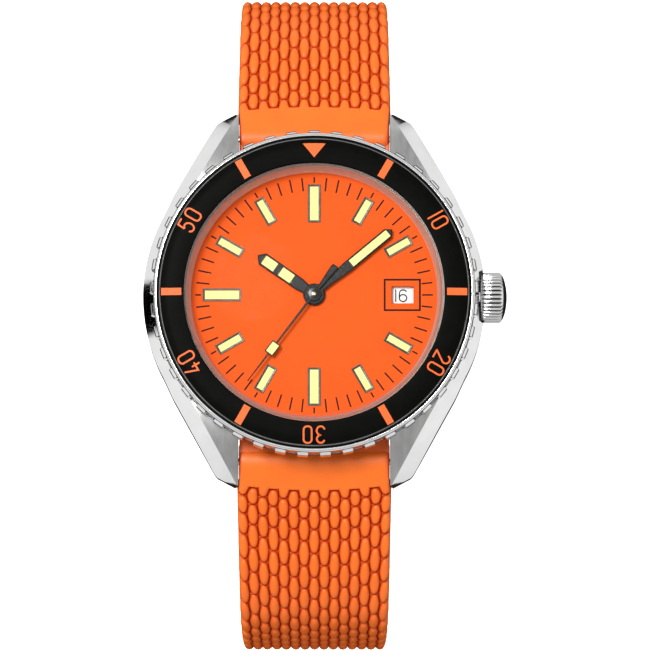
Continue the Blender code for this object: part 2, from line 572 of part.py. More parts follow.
place(at(mw, MINUTE_WHEEL_AT), "minute_wheel", "brass", (*MINUTE_WHEEL_AT, 0))
hw_turn = -35 + 180 / HOUR_WHEEL_TEETH
hw = stack("hourwheel", [(circle(0.65, 16), 6.74), (turned(gear(HOUR_WHEEL_TEETH, R_HOUR_WHEEL, 0.1), hw_turn), 6.74), (turned(gear(HOUR_WHEEL_TEETH, R_HOUR_WHEEL, 0.1), hw_turn), 6.92),
                         (circle(0.9, 16), 6.92), (circle(0.9, 16), 8.0), (circle(0.65, 16), 8.0)], closed=True)
place(hw, "hour_wheel", "brass")

# winding rotor: half disc with a heavy rim, on a central bearing
rotor = prism("web", sector(9.4, 174, 366, 20), 1.84, 2.06)
join(rotor, prism("weight", sector(12.3, 180, 360, 24) + sector(9.0, 360, 180, 20), 1.74, 2.3))
join(rotor, rod("rotor_hub", 1.9, 1.8, 2.1, 24))
cut(rotor, rod("rotor_bore", 0.86, 1.0, 3.0, 24))
place(rotor, "oscillating_weight", "rhodium")

for tag, a in (("left", 130.0), ("right", 35.0)):
    tab = moved(block("tab", (12.75, -0.95, 2.72), (14.75, 0.95, 2.96)), Matrix.Rotation(math.radians(a), 4, "Z"))
    spot = polar(13.9, a)
    cut(tab, rod("tab_hole", 0.42, 2, 4, 14, spot))
    place(tab, "casing_clamp_" + tag, "rhodium")
    head = stack("head", [(circle(0.75, 16), 2.46), (circle(0.75, 16), 2.69), (circle(0.36, 12), 2.69), (circle(0.36, 12), 2.97)])
    cut(head, block("slot", (-1, -0.12, 2.3), (1, 0.12, 2.55)))
    place(at(head, spot), "clamp_screw_" + tag, "blued")

# ------------------------------------------------------------------ crown and keyless works
along_x = Matrix.Translation((0, 0, CROWN_Z)) @ TO_X
fluted = gear(36, 3.04, 0.11)
crown = stack("crown", [(circle(2.75, 24), 20.78), (fluted, 20.95), (fluted, 23.35), (circle(2.85, 24), 23.62), (circle(2.0, 24), 23.95), (circle(0.9, 24), 24.08)])
cut(crown, stack("socket", [(circle(1.4, 24), 20), (circle(1.4, 24), 22.65)]))
place(moved(crown, along_x), "crown", "steel", (0, 0, CROWN_Z))
tube = stack("tube", [(circle(0.62, 20), 15.75), (circle(1.24, 20), 15.75), (circle(1.24, 20), 20.4), (circle(1.0, 20), 20.45), (circle(1.0, 20), 22.2), (circle(0.62, 20), 22.2)], closed=True)
place(moved(tube, along_x), "crown_tube", "polished", (0, 0, CROWN_Z))
place(moved(lathe("crown_seal", [(1.04, 21.4), (1.36, 21.4), (1.36, 21.75), (1.04, 21.75)], 20), along_x), "crown_gasket", "seal", (0, 0, CROWN_Z))
stem = stack("stem", [(circle(0.3, 12), 7.6), (circle(0.45, 12), 7.65), (circle(0.45, 12), 9.0), (circle(0.28, 12), 9.0), (circle(0.28, 12), 9.5), (circle(0.45, 12), 9.5), (circle(0.45, 12), 22.6)])
place(moved(stem, along_x), "winding_stem", "polished", (0, 0, CROWN_Z))
pinion = stack("pinion", [(circle(0.5, 16), 9.75), (gear(14, 0.95, 0.13, 4), 9.75), (gear(14, 0.95, 0.13, 4), 10.9), (circle(0.5, 16), 10.9)], closed=True)
place(moved(pinion, along_x), "winding_pinion", "polished", (0, 0, CROWN_Z))
lever = prism("lever", [(9.08, 0.33), (9.42, 0.33), (9.45, 1.6), (9.6, 2.0), (9.55, 2.5), (9.25, 2.6), (8.95, 2.3), (9.05, 1.6)], CROWN_Z - 0.15, CROWN_Z + 0.15)
place(lever, "setting_lever", "rhodium")

# ------------------------------------------------------------------ spring bars
for tag, sy in (("12", 1), ("6", -1)):
    bar = stack("bar", [(circle(0.4, 12), -10.5), (circle(0.4, 12), -9.3), (circle(0.82, 16), -9.3), (circle(0.82, 16), 9.3), (circle(0.4, 12), 9.3), (circle(0.4, 12), 10.5)])
    place(moved(bar, Matrix.Translation((0, sy * BAR_Y, BAR_Z)) @ TO_X), "spring_bar_" + tag, "polished", (0, sy * BAR_Y, BAR_Z))


# ------------------------------------------------------------------ strap
def strap_knots(end_y, side):
    """Centre line of one strap half in |y| and z (head frame): out of the lugs, down and round, flat on the surface."""
    f = STRAP_FLOOR
    if side > 0:
        drop = [(24.0, 0.8), (27.6, -0.75), (31.2, -2.3), (34.4, -4.4), (37.2, -7.9), (38.9, -12.2), (39.8, -17.8), (40.0, -24.5), (39.1, -31.3),
                (36.9, -38.0), (33.3, -44.1), (28.4, -48.9), (22.8, f + 0.42), (17.5, f)]
    else:
        drop = [(24.0, 0.75), (28.1, -1.15), (32.0, -3.0), (35.65, -5.75), (38.05, -8.6), (39.5, -12.4), (40.35, -17.2), (40.65, -23.2), (39.9, -30.0),
                (37.9, -37.0), (34.5, -43.4), (29.7, -48.6), (24.0, f + 0.5), (18.0, f)]
    return [(18.1, 3.45), (BAR_Y, BAR_Z)] + drop + [(12.0, f), (6.0, f), (end_y, f), (end_y - 6.0, f)]


def centre_line(end_y, side, per=24):
    """Smooth points through the knots (Catmull-Rom), with running length measured from the spring bar."""
    k = strap_knots(end_y, side)
    pts = []
    for i in range(1, len(k) - 2):
        p0, p1, p2, p3 = (Vector(p) for p in k[i - 1:i + 3])
        for j in range(per):
            t = j / per
            pts.append(0.5 * ((2 * p1) + (p2 - p0) * t + (2 * p0 - 5 * p1 + 4 * p2 - p3) * t * t + (3 * p1 - p0 - 3 * p2 + p3) * t ** 3))
    pts.append(Vector(k[-2]))
    for p in pts:
        if p.x < 18.05:
            p.y = STRAP_FLOOR
    s = [0.0]
    for a, b in zip(pts, pts[1:]):
        s.append(s[-1] + (b - a).length)
    return pts, s


def on_line(line, s):
    """Point and outward normal at a running length; before 0 it runs straight back from the spring bar."""
    pts, run = line
    if s <= 0:
        t = (pts[1] - pts[0]).normalized()
        return pts[0] + t * s, Vector((-t.y, t.x))
    i = max(k for k in range(len(run) - 1) if run[k] <= s) if s < run[-1] else len(run) - 2
    t = (pts[i + 1] - pts[i]).normalized()
    f = (s - run[i]) / (run[i + 1] - run[i])
    return pts[i].lerp(pts[i + 1], f), Vector((-t.y, t.x))


def lerp_table(table, s):
    for (a, u), (b, v) in zip(table, table[1:]):
        if s <= b:
            return u + (v - u) * max(0.0, s - a) / (b - a)
    return table[-1][1]


def thickness(s):
    return lerp_table([(0, 4.2), (4, 3.7), (10, 3.3), (30, 2.9), (60, STRAP_T_FLAT), (200, STRAP_T_FLAT)], s)


def sweep_strap(name, line, length, stations, half_width, half_thick, sy):
    bm = bmesh.new()
    rows = []
    for s in stations:
        p, n = on_line(line, s)
        w, h = half_width(s), half_thick(s)
        c = min(0.35, 0.6 * h, 0.6 * w)
        section = [(-w, -h + c), (-w + c, -h), (w - c, -h), (w, -h + c), (w, h - c), (w - c, h), (-w + c, h), (-w, h - c)]
        rows.append([bm.verts.new((u, sy * (p.x + v * n.x), p.y + v * n.y)) for u, v in section])
    for a, b in zip(rows, rows[1:]):
        stitch(bm, a, b)
    bm.faces.new(rows[0])
    bm.faces.new(rows[-1])
    return finish_mesh(bm, name)


def lobe_stations(r, at_s, sign):
    return [at_s + sign * r * math.cos(math.radians(a)) for a in (10, 32, 52, 72, 90)]


# buckle half, on the twelve o'clock side; it ends round the buckle's bar
line_12 = centre_line(BUCKLE_BAR_Y - 2, 1)
LEN_12 = next(s for p, s in zip(*line_12) if p.x <= BUCKLE_BAR_Y and s > 40)
_, run_12 = line_12
# the tail half, on the six o'clock side, runs on past the middle
line_6 = centre_line(-TAIL_TIP_Y, -1)
LEN_6 = line_6[1][-1]


def half_width_12(s):
    return lerp_table([(-3, 9.3), (4, 9.3), (LEN_12 - 6, 8.4), (LEN_12 + 3, 8.4)], s)


def half_width_6(s):
    w = lerp_table([(-3, 9.3), (4, 9.3), (70, 8.4), (200, 8.4)], s)
    past = (s - (LEN_6 - 9.0)) / 9.0
    return w if past <= 0 else w * math.sqrt(max(0.0, 1 - (0.97 * past) ** 2))


def half_thick_12(s):
    if s < 0:
        return math.sqrt(max(0.04, 2.1 ** 2 - s * s))
    if s > LEN_12:
        return math.sqrt(max(0.02, 1.3 ** 2 - (s - LEN_12) ** 2))
    return thickness(s) / 2


def half_thick_6(s):
    if s < 0:
        return math.sqrt(max(0.04, 2.1 ** 2 - s * s))
    return thickness(s) / 2


def spaced(a, b, n):
    return [a + (b - a) * k / n for k in range(1, n + 1)]


st_12 = lobe_stations(2.1, 0, -1) + spaced(0, LEN_12, 27) + [LEN_12 + 1.3 * math.sin(math.radians(a)) for a in (20, 40, 60, 80)]
strap_12 = sweep_strap("strap", line_12, LEN_12, st_12, half_width_12, half_thick_12, 1)
cut(strap_12, moved(rod("bore", 0.92, -12, 12, 20), Matrix.Translation((0, BAR_Y, BAR_Z)) @ TO_X))
cut(strap_12, moved(rod("buckle_bore", 0.72, -12, 12, 16), Matrix.Translation((0, BUCKLE_BAR_Y, BUCKLE_BAR_Z)) @ TO_X))
cut(strap_12, block("tongue_slot", (-1.25, BUCKLE_BAR_Y - 4, BUCKLE_BAR_Z - 3), (1.25, BUCKLE_BAR_Y + 2.6, BUCKLE_BAR_Z + 3)))
place(strap_12, "strap_buckle_half", "rubber", (0, BAR_Y, BAR_Z))

st_6 = lobe_stations(2.1, 0, -1) + spaced(0, LEN_6 - 9, 32) + [LEN_6 - 9 + 9 * math.sin(math.radians(a)) for a in (15, 30, 45, 60, 75, 90)]
strap_6 = sweep_strap("strap", line_6, LEN_6, st_6, half_width_6, half_thick_6, -1)
cut(strap_6, moved(rod("bore", 0.92, -12, 12, 20), Matrix.Translation((0, -BAR_Y, BAR_Z)) @ TO_X))
HOLE_PITCH, HOLES = 6.0, 7
for k in range(HOLES):
    p, n = on_line(line_6, LEN_6 - 21.5 - HOLE_PITCH * k)
    frame = Matrix.Translation((0, -p.x, p.y)) @ Vector((0, -n.x, n.y)).to_track_quat("Z", "Y").to_matrix().to_4x4()
    cut(strap_6, moved(rod("pin_hole", 0.85, -4, 4, 12), frame))
place(strap_6, "strap_tail_half", "rubber", (0, -BAR_Y, BAR_Z))

# ------------------------------------------------------------------ buckle
bx, by, bz = 0.0, BUCKLE_BAR_Y, BUCKLE_BAR_Z
front = 8.5
outline = [(-8.75, by + 1.5), (-10.1, by + 1.5), (-10.1, front + 1.3), (-9.7, front + 0.45), (-8.9, front), (8.9, front), (9.7, front + 0.45), (10.1, front + 1.3),
           (10.1, by + 1.5), (8.75, by + 1.5), (8.75, front + 2.3), (8.4, front + 2.0), (-8.4, front + 2.0), (-8.75, front + 2.3)]
frame = prism("frame", outline, bz - 1.05, bz + 1.0)
cut(frame, moved(rod("arm_hole", 0.7, -9.75, 9.75, 16), Matrix.Translation((0, by, bz)) @ TO_X))
place(frame, "buckle_frame", "polished", (0, by, bz))
place(moved(stack("bar", [(circle(0.6, 16), -9.6), (circle(0.6, 16), 9.6)]), Matrix.Translation((0, by, bz)) @ TO_X), "buckle_bar", "polished", (0, by, bz))
tongue = moved(rod("eye", 1.35, -0.9, 0.9, 24), Matrix.Translation((0, by, bz)) @ TO_X)
shaft = moved(prism("shaft", [(by + 0.1, bz + 0.75), (by - 2.4, bz + 1.05), (9.0, bz + 1.05), (8.75, bz + 1.2), (9.1, bz + 1.75), (by - 2.2, bz + 1.85), (by + 0.1, bz + 1.3)], -0.75, 0.75), TO_YZ)
join(tongue, shaft)
cut(tongue, moved(rod("eye_bore", 0.68, -3, 3, 20), Matrix.Translation((0, by, bz)) @ TO_X))
place(tongue, "buckle_tongue", "polished", (0, by, bz))


def keeper(name, s, length, wall):
    """A loop round the buckle half with room outside it for the tail."""
    p, n = on_line(line_12, s)
    w = half_width_12(s) + 0.3
    t = thickness(s) / 2
    low, high = -t - 0.45, t + 2.8
    o = lathe_rect(w + wall, low - wall, high + wall, w, low, high, length, 0.5)
    basis = Matrix(((1, 0, 0, 0), (0, n.x, -n.y, p.x), (0, n.y, n.x, p.y), (0, 0, 0, 1)))
    return moved(o, basis), p, n


def lathe_rect(W, l, h, w, l2, h2, length, c):
    """A rectangular ring with cut corners, lying in local X and Y and extruded along local Z."""
    outer = [(-W + c, l), (W - c, l), (W, l + c), (W, h - c), (W - c, h), (-W + c, h), (-W, h - c), (-W, l + c)]
    inner = [(-w, l2), (w, l2), (w, l2), (w, h2), (w, h2), (-w, h2), (-w, h2), (-w, l2)]
    inner = [(-w + 0.1, l2), (w - 0.1, l2), (w, l2 + 0.1), (w, h2 - 0.1), (w - 0.1, h2), (-w + 0.1, h2), (-w, h2 - 0.1), (-w, l2 + 0.1)]
    bm = bmesh.new()
    loops = [[bm.verts.new((x, y, z)) for x, y in outline] for outline, z in ((outer, -length / 2), (outer, length / 2), (inner, length / 2), (inner, -length / 2))]
    for a, b in zip(loops, loops[1:] + loops[:1]):
        stitch(bm, a, b)
    return finish_mesh(bm, "keeper")


fixed, _, _ = keeper("fixed", LEN_12 - 14.0, 4.6, 1.1)
place(fixed, "keeper_fixed", "rubber", (0, BAR_Y, BAR_Z))
free, free_at, free_n = keeper("free", LEN_12 - 22.5, 4.6, 1.1)
place(free, "keeper_free", "rubber", (0, free_at.x, free_at.y))
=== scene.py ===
"""Visual model of the dive watch on its open rubber strap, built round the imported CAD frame.

Lengths in the helpers are millimetres in the head's own frame (z = 0 at the outer face of the case back);
piece() turns them into metres in the frame of the CAD model.
"""
import json
import math
from bisect import bisect_right

import bmesh
import bpy
from mathutils import Matrix, Vector

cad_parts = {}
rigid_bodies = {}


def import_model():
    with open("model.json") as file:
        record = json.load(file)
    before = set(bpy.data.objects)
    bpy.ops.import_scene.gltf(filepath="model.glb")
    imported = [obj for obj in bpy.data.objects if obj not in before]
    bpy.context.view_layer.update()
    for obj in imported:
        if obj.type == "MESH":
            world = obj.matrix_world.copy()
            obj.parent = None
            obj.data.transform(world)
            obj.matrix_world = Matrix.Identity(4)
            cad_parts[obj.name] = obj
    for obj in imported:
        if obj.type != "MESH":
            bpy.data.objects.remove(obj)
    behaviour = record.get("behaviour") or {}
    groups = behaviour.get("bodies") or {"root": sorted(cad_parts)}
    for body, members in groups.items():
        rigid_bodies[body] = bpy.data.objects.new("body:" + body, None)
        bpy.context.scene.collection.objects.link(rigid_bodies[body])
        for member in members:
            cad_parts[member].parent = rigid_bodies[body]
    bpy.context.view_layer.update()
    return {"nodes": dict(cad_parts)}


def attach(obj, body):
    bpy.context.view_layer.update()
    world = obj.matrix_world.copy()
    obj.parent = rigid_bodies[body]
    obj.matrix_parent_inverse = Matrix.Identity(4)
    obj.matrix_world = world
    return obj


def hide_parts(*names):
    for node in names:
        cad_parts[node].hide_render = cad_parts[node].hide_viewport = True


for stale in list(bpy.data.objects):
    bpy.data.objects.remove(stale, do_unlink=True)
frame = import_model()
scene = bpy.context.scene

TAU = 2 * math.pi
BACK_Z = 54.0
CASE_R = 21.4
LUG_HALF_GAP, LUG_TIP_Y = 9.5, 23.6
BAR_Y, BAR_Z = 20.4, 2.4
NECK_R, NECK_TOP = 17.9, 9.75
DIAL_TOP = 7.5
CROWN_Z = 4.7
STRAP_FLOOR = -BACK_Z + 1.3
BUCKLE_Y, BUCKLE_Z = 18.2, -BACK_Z + 1.3
TAIL_TIP_Y = 7.2
HOUR_DEG, MINUTE_DEG, SECOND_DEG = 304.9, 50.2, 217.2
FINE = 180               # facets of the large turned pieces


# ------------------------------------------------------------------ materials
def link(tree, a, b):
    tree.links.new(a, b)


def noise(tree, coord, scale, detail=3.0, rough=0.55):
    """A noise texture over the piece's own coordinates; scale is cycles per millimetre along x, y and z."""
    m = tree.nodes.new("ShaderNodeMapping")
    m.inputs["Scale"].default_value = [1000.0 * s for s in scale]
    n = tree.nodes.new("ShaderNodeTexNoise")
    n.inputs["Scale"].default_value = 1.0
    n.inputs["Detail"].default_value = detail
    n.inputs["Roughness"].default_value = rough
    link(tree, coord, m.inputs["Vector"])
    link(tree, m.outputs["Vector"], n.inputs["Vector"])
    return n.outputs["Fac"]


def ranged(tree, value, low, high, a=0.3, b=0.7):
    r = tree.nodes.new("ShaderNodeMapRange")
    r.inputs["From Min"].default_value, r.inputs["From Max"].default_value = a, b
    r.inputs["To Min"].default_value, r.inputs["To Max"].default_value = low, high
    link(tree, value, r.inputs["Value"])
    return r.outputs["Result"]


def mixed(tree, factor, a, b, kind="MIX"):
    m = tree.nodes.new("ShaderNodeMix")
    m.data_type = "RGBA"
    m.blend_type = kind
    for socket, v in ((m.inputs[0], factor), (m.inputs[6], a), (m.inputs[7], b)):
        if hasattr(v, "links") or hasattr(v, "is_linked"):
            link(tree, v, socket)
        elif isinstance(v, (int, float)):
            socket.default_value = v
        else:
            socket.default_value = (*v, 1.0)
    return m.outputs[2]


def surface(name, a, b, rough=(0.35, 0.5), metal=0.0, grain=(2, 2, 2), fine=(12, 12, 12), bump=0.0, spec=0.5, coat=0.0, aniso=0.0, sheen=0.0, subsurface=0.0, painted_crease_shade=None):
    """A Principled material whose colour, roughness and relief vary by two scales of noise; its last argument, when
    given, paints shade into creases: an ambient occlusion mask darkens the colour towards a given colour.
    """
    m = bpy.data.materials.new(name)
    m.use_nodes = True
    t = m.node_tree
    p = t.nodes["Principled BSDF"]
    coord = t.nodes.new("ShaderNodeTexCoord").outputs["Object"]
    large, small = noise(t, coord, grain), noise(t, coord, fine, 2.0)
    colour = mixed(t, ranged(t, large, 0.0, 1.0), a, b)
    if painted_crease_shade:
        # painted shade: the ambient occlusion mask darkens the base colour in creases and grooves
        shade = t.nodes.new("ShaderNodeAmbientOcclusion")
        shade.samples = 6
        shade.inputs["Distance"].default_value = painted_crease_shade[0]
        colour = mixed(t, ranged(t, shade.outputs["AO"], 0.0, 1.0, painted_crease_shade[2], painted_crease_shade[3]), painted_crease_shade[1], colour)
    link(t, colour, p.inputs["Base Color"])
    link(t, ranged(t, small, rough[0], rough[1]), p.inputs["Roughness"])
    p.inputs["Metallic"].default_value = metal
    p.inputs["Specular IOR Level"].default_value = spec
    p.inputs["Coat Weight"].default_value = coat
    p.inputs["Coat Roughness"].default_value = 0.08
    p.inputs["Anisotropic"].default_value = aniso
    p.inputs["Sheen Weight"].default_value = sheen
    if subsurface:
        p.inputs["Subsurface Weight"].default_value = subsurface
        p.inputs["Subsurface Radius"].default_value = (1.0, 0.35, 0.15)
        p.inputs["Subsurface Scale"].default_value = 0.0006
    if bump:
        bp = t.nodes.new("ShaderNodeBump")
        bp.inputs["Strength"].default_value = 0.6
        bp.inputs["Distance"].default_value = bump * 0.001
        link(t, small, bp.inputs["Height"])
        link(t, bp.outputs["Normal"], p.inputs["Normal"])
    return m


RUBBER = surface("rubber_orange_satin", (0.77, 0.112, 0.007), (0.82, 0.124, 0.009), (0.42, 0.56), grain=(0.25, 0.25, 0.25), fine=(9, 9, 9), bump=0.006, spec=0.4, sheen=0.0)
# the beads' colour darkens towards deep orange in the grooves between them: painted shade
RUBBER_BEADS = surface("rubber_orange_beads", (0.82, 0.142, 0.009), (0.88, 0.160, 0.012), (0.36, 0.52), grain=(0.3, 0.3, 0.3), fine=(9, 9, 9), bump=0.005, spec=0.4,
                       painted_crease_shade=(0.0013, (0.42, 0.022, 0.001), 0.3, 0.95))
STEEL_TOP = surface("steel_brushed_top", (0.45, 0.45, 0.445), (0.58, 0.58, 0.575), (0.3, 0.46), 1.0, grain=(1.3, 0.35, 0.35), fine=(26, 0.9, 0.9), bump=0.0035, aniso=0.5)
STEEL_SIDE = surface("steel_brushed_side", (0.52, 0.52, 0.51), (0.62, 0.62, 0.61), (0.24, 0.36), 1.0, grain=(0.3, 0.3, 1.5), fine=(0.9, 0.9, 26), bump=0.003, aniso=0.5)
STEEL_POLISHED = surface("steel_polished", (0.86, 0.86, 0.855), (0.92, 0.92, 0.915), (0.05, 0.1), 1.0, grain=(0.4, 0.4, 0.4), fine=(3, 3, 3), bump=0.0005)
# the bezel's steel darkens to near black in the gaps round its teeth: painted shade
STEEL_BEZEL = surface("steel_bezel", (0.82, 0.82, 0.815), (0.9, 0.9, 0.9), (0.1, 0.2), 1.0, grain=(0.8, 0.8, 0.8), fine=(14, 14, 14), bump=0.001, painted_crease_shade=(0.0005, (0.05, 0.05, 0.05), 0.25, 0.62))
# the crown's steel darkens to black in the grooves between its flutes: painted shade
STEEL_CROWN = surface("steel_crown", (0.8, 0.8, 0.795), (0.88, 0.88, 0.875), (0.08, 0.18), 1.0, grain=(1, 1, 1), fine=(10, 10, 10), bump=0.001, painted_crease_shade=(0.0005, (0.01, 0.01, 0.01), 0.35, 0.75))
STEEL_BACK = surface("steel_back", (0.5, 0.5, 0.49), (0.6, 0.6, 0.59), (0.2, 0.36), 1.0, grain=(0.4, 0.4, 0.4), fine=(18, 0.8, 3), bump=0.002)
INSERT = surface("insert_black", (0.0030, 0.0032, 0.0027), (0.0042, 0.0042, 0.0037), (0.34, 0.44), grain=(0.6, 0.6, 0.6), fine=(20, 20, 20), bump=0.0004, spec=0.012)
# the insert's outer chamfer: a grey copy of the black insert, a painted highlight for the grey reflection along the
# chamfer
INSERT_EDGE_PAINTED_SHEEN = surface("insert_edge_painted_sheen", (0.12, 0.12, 0.115), (0.17, 0.17, 0.165), (0.16, 0.24), 0.3, grain=(0.8, 0.8, 0.8), fine=(14, 14, 14), bump=0.0004, spec=0.3)
SCALE_ORANGE = surface("scale_orange", (0.78, 0.125, 0.02), (0.84, 0.14, 0.026), (0.42, 0.55), grain=(1.2, 1.2, 1.2), fine=(22, 22, 22), bump=0.001, spec=0.2)
DIAL = surface("dial_orange", (0.77, 0.088, 0.0035), (0.80, 0.094, 0.0045), (0.5, 0.62), grain=(0.35, 0.35, 0.35), fine=(30, 30, 30), bump=0.001, spec=0.12)
PRINT = surface("print_black", (0.006, 0.003, 0.003), (0.012, 0.004, 0.004), (0.5, 0.6), grain=(2, 2, 2), fine=(25, 25, 25), bump=0.0008, spec=0.1)
MARKER = surface("marker_frame", (0.038, 0.036, 0.032), (0.07, 0.066, 0.058), (0.25, 0.4), 0.5, grain=(1.5, 1.5, 1.5), fine=(20, 20, 20), bump=0.001, spec=0.3)
LUME = surface("luminous_fill", (0.78, 0.72, 0.27), (0.84, 0.79, 0.35), (0.6, 0.75), grain=(3, 3, 3), fine=(16, 16, 16), bump=0.006, spec=0.15)
HAND = surface("hand_black", (0.004, 0.004, 0.004), (0.007, 0.007, 0.007), (0.14, 0.24), grain=(1, 1, 1), fine=(20, 20, 20), bump=0.0008, spec=0.35)
HAND_PIN = surface("hand_pin", (0.16, 0.16, 0.16), (0.22, 0.22, 0.22), (0.12, 0.2), 1.0, grain=(3, 3, 3), fine=(20, 20, 20))
DATE = surface("date_white", (0.90, 0.92, 0.92), (0.94, 0.96, 0.96), (0.5, 0.6), grain=(0.6, 0.6, 0.6), fine=(25, 25, 25), bump=0.001, spec=0.2)
DATE_INK = surface("date_ink", (0.022, 0.022, 0.024), (0.035, 0.035, 0.038), (0.5, 0.6), grain=(3, 3, 3), fine=(25, 25, 25), spec=0.1)
# the flange ring's orange-brown colour is a painted reflection of the orange dial in a polished steel ring
FLANGE_PAINTED_REFLECTION = surface("flange", (0.74, 0.44, 0.33), (0.8, 0.5, 0.38), (0.34, 0.42), 0.35, grain=(0.6, 0.6, 0.6), fine=(16, 16, 16), bump=0.0006, spec=0.3)
SEAL = surface("seal_black", (0.012, 0.012, 0.012), (0.02, 0.02, 0.02), (0.6, 0.75), grain=(1, 1, 1), fine=(12, 12, 12), bump=0.003)
PLASTIC = surface("plastic_white", (0.66, 0.66, 0.63), (0.74, 0.74, 0.71), (0.4, 0.55), grain=(0.5, 0.5, 0.5), fine=(12, 12, 12), bump=0.003)
BRASS = surface("brass_gilt", (0.62, 0.4, 0.13), (0.74, 0.52, 0.2), (0.2, 0.34), 1.0, grain=(1.2, 1.2, 1.2), fine=(3, 24, 3), bump=0.001)
RHODIUM = surface("rhodium_striped", (0.5, 0.5, 0.49), (0.66, 0.66, 0.65), (0.18, 0.32), 1.0, grain=(0.55, 0.05, 0.05), fine=(3, 24, 3), bump=0.001)
BLUED = surface("steel_blued", (0.02, 0.05, 0.26), (0.04, 0.09, 0.4), (0.12, 0.22), 1.0, grain=(2, 2, 2), fine=(20, 20, 20), bump=0.0006)


def crystal_material(name, tint, gloss, glint_haze):
    """Clear sapphire: what is behind it shows unbent, with a faint reflection that grows towards the rim; the last
    argument is how much grey diffuse is mixed in, a painted highlight for the light line of the crystal's edge.
    """
    m = bpy.data.materials.new(name)
    m.use_nodes = True
    t = m.node_tree
    t.nodes.remove(t.nodes["Principled BSDF"])
    out = t.nodes["Material Output"]
    clear = t.nodes.new("ShaderNodeBsdfTransparent")
    clear.inputs["Color"].default_value = (*tint, 1.0)
    shine = t.nodes.new("ShaderNodeBsdfGlossy")
    shine.inputs["Roughness"].default_value = 0.03
    # grey diffuse mixed in by the last argument: painted highlight for the crystal's edge line
    ground = t.nodes.new("ShaderNodeBsdfDiffuse")
    ground.inputs["Color"].default_value = (0.22, 0.2, 0.19, 1.0)
    weight = t.nodes.new("ShaderNodeLayerWeight")
    weight.inputs["Blend"].default_value = 0.12
    coord = t.nodes.new("ShaderNodeTexCoord").outputs["Object"]
    film = ranged(t, noise(t, coord, (0.2, 0.2, 0.2)), gloss * 0.8, gloss * 1.2)
    scaled = t.nodes.new("ShaderNodeMath")
    scaled.operation = "MULTIPLY"
    link(t, weight.outputs["Fresnel"], scaled.inputs[0])
    link(t, film, scaled.inputs[1])
    first, second = t.nodes.new("ShaderNodeMixShader"), t.nodes.new("ShaderNodeMixShader")
    first.inputs["Fac"].default_value = glint_haze
    link(t, clear.outputs[0], first.inputs[1])
    link(t, ground.outputs[0], first.inputs[2])
    link(t, scaled.outputs[0], second.inputs["Fac"])
    link(t, first.outputs[0], second.inputs[1])
    link(t, shine.outputs[0], second.inputs[2])
    link(t, second.outputs[0], out.inputs["Surface"])
    return m


CRYSTAL = crystal_material("sapphire", (0.995, 0.998, 0.992), 0.05, 0.0)
# the rim band: its grey diffuse paints in the light line along the crystal's edge
CRYSTAL_RIM = crystal_material("sapphire_rim", (0.9, 0.9, 0.9), 0.3, 0.22)


# ------------------------------------------------------------------ mesh helpers (mm, head frame)
def circle(r, n=FINE, phase=0.0):
    return [(r * math.cos(phase + TAU * i / n), r * math.sin(phase + TAU * i / n)) for i in range(n)]


def turned(outline, degrees):
    c, s = math.cos(math.radians(degrees)), math.sin(math.radians(degrees))
    return [(x * c - y * s, x * s + y * c) for x, y in outline]


def stitch(bm, a, b):
    n = len(a)
    return [bm.faces.new((a[i], a[(i + 1) % n], b[(i + 1) % n], b[i])) for i in range(n)]


def made(bm, name):
    bmesh.ops.recalc_face_normals(bm, faces=bm.faces)
    me = bpy.data.meshes.new(name)
    bm.to_mesh(me)
    bm.free()
    ob = bpy.data.objects.new(name, me)
    scene.collection.objects.link(ob)
    return ob


def stack(name, rings, closed=False, index=None):
    """A solid from (outline, height) rings of equal counts. index gives the material of the band after each ring."""
    bm = bmesh.new()
    loops = [[bm.verts.new((x, y, z)) for x, y in outline] for outline, z in rings]
    pairs = list(zip(loops, loops[1:])) + ([(loops[-1], loops[0])] if closed else [])
    for k, (a, b) in enumerate(pairs):
        for f in stitch(bm, a, b):
            f.material_index = index[k] if index else 0
    if not closed:
        for loop, (_, z) in ((loops[0], rings[0]), (loops[-1], rings[-1])):
            mid = bm.verts.new((sum(v.co.x for v in loop) / len(loop), sum(v.co.y for v in loop) / len(loop), z))
            for i in range(len(loop)):
                bm.faces.new((loop[i], loop[(i + 1) % len(loop)], mid))
    return made(bm, name)


def lathe(name, profile, n=FINE, closed=True, index=None):
    return stack(name, [(circle(r, n), z) for r, z in profile], closed, index)


def prism(name, outline, z0, z1):
    bm = bmesh.new()
    low = [bm.verts.new((x, y, z0)) for x, y in outline]
    high = [bm.verts.new((x, y, z1)) for x, y in outline]
    bm.faces.new(low)
    bm.faces.new(high)
    stitch(bm, low, high)
    return made(bm, name)


def block(name, low, high):
    return prism(name, [(low[0], low[1]), (high[0], low[1]), (high[0], high[1]), (low[0], high[1])], low[2], high[2])


def rod(name, r, low, high, n=32, at=(0.0, 0.0)):
    ob = stack(name, [(circle(r, n), low), (circle(r, n), high)])
    ob.data.transform(Matrix.Translation((at[0], at[1], 0)))
    return ob


TO_X = Matrix.Rotation(math.pi / 2, 4, "Y")     # local Z becomes +X
TO_YZ = Matrix(((0, 0, 1, 0), (1, 0, 0, 0), (0, 1, 0, 0), (0, 0, 0, 1)))  # local x, y, z become Y, Z, X


def moved(ob, matrix):
    ob.data.transform(matrix)
    if matrix.to_3x3().determinant() < 0:
        ob.data.flip_normals()
    return ob


def boolean(ob, other, operation, solver="EXACT"):
    mod = ob.modifiers.new("cut", "BOOLEAN")
    mod.operation = operation
    mod.object = other
    mod.solver = solver
    graph = bpy.context.evaluated_depsgraph_get()
    graph.update()
    mesh = bpy.data.meshes.new_from_object(ob.evaluated_get(graph))
    ob.modifiers.clear()
    old = ob.data
    ob.data = mesh
    bpy.data.meshes.remove(old)
    bpy.data.objects.remove(other, do_unlink=True)
    return ob


def cut(ob, *tools, solver="EXACT"):
    for t in tools:
        boolean(ob, t, "DIFFERENCE", solver)
    return ob


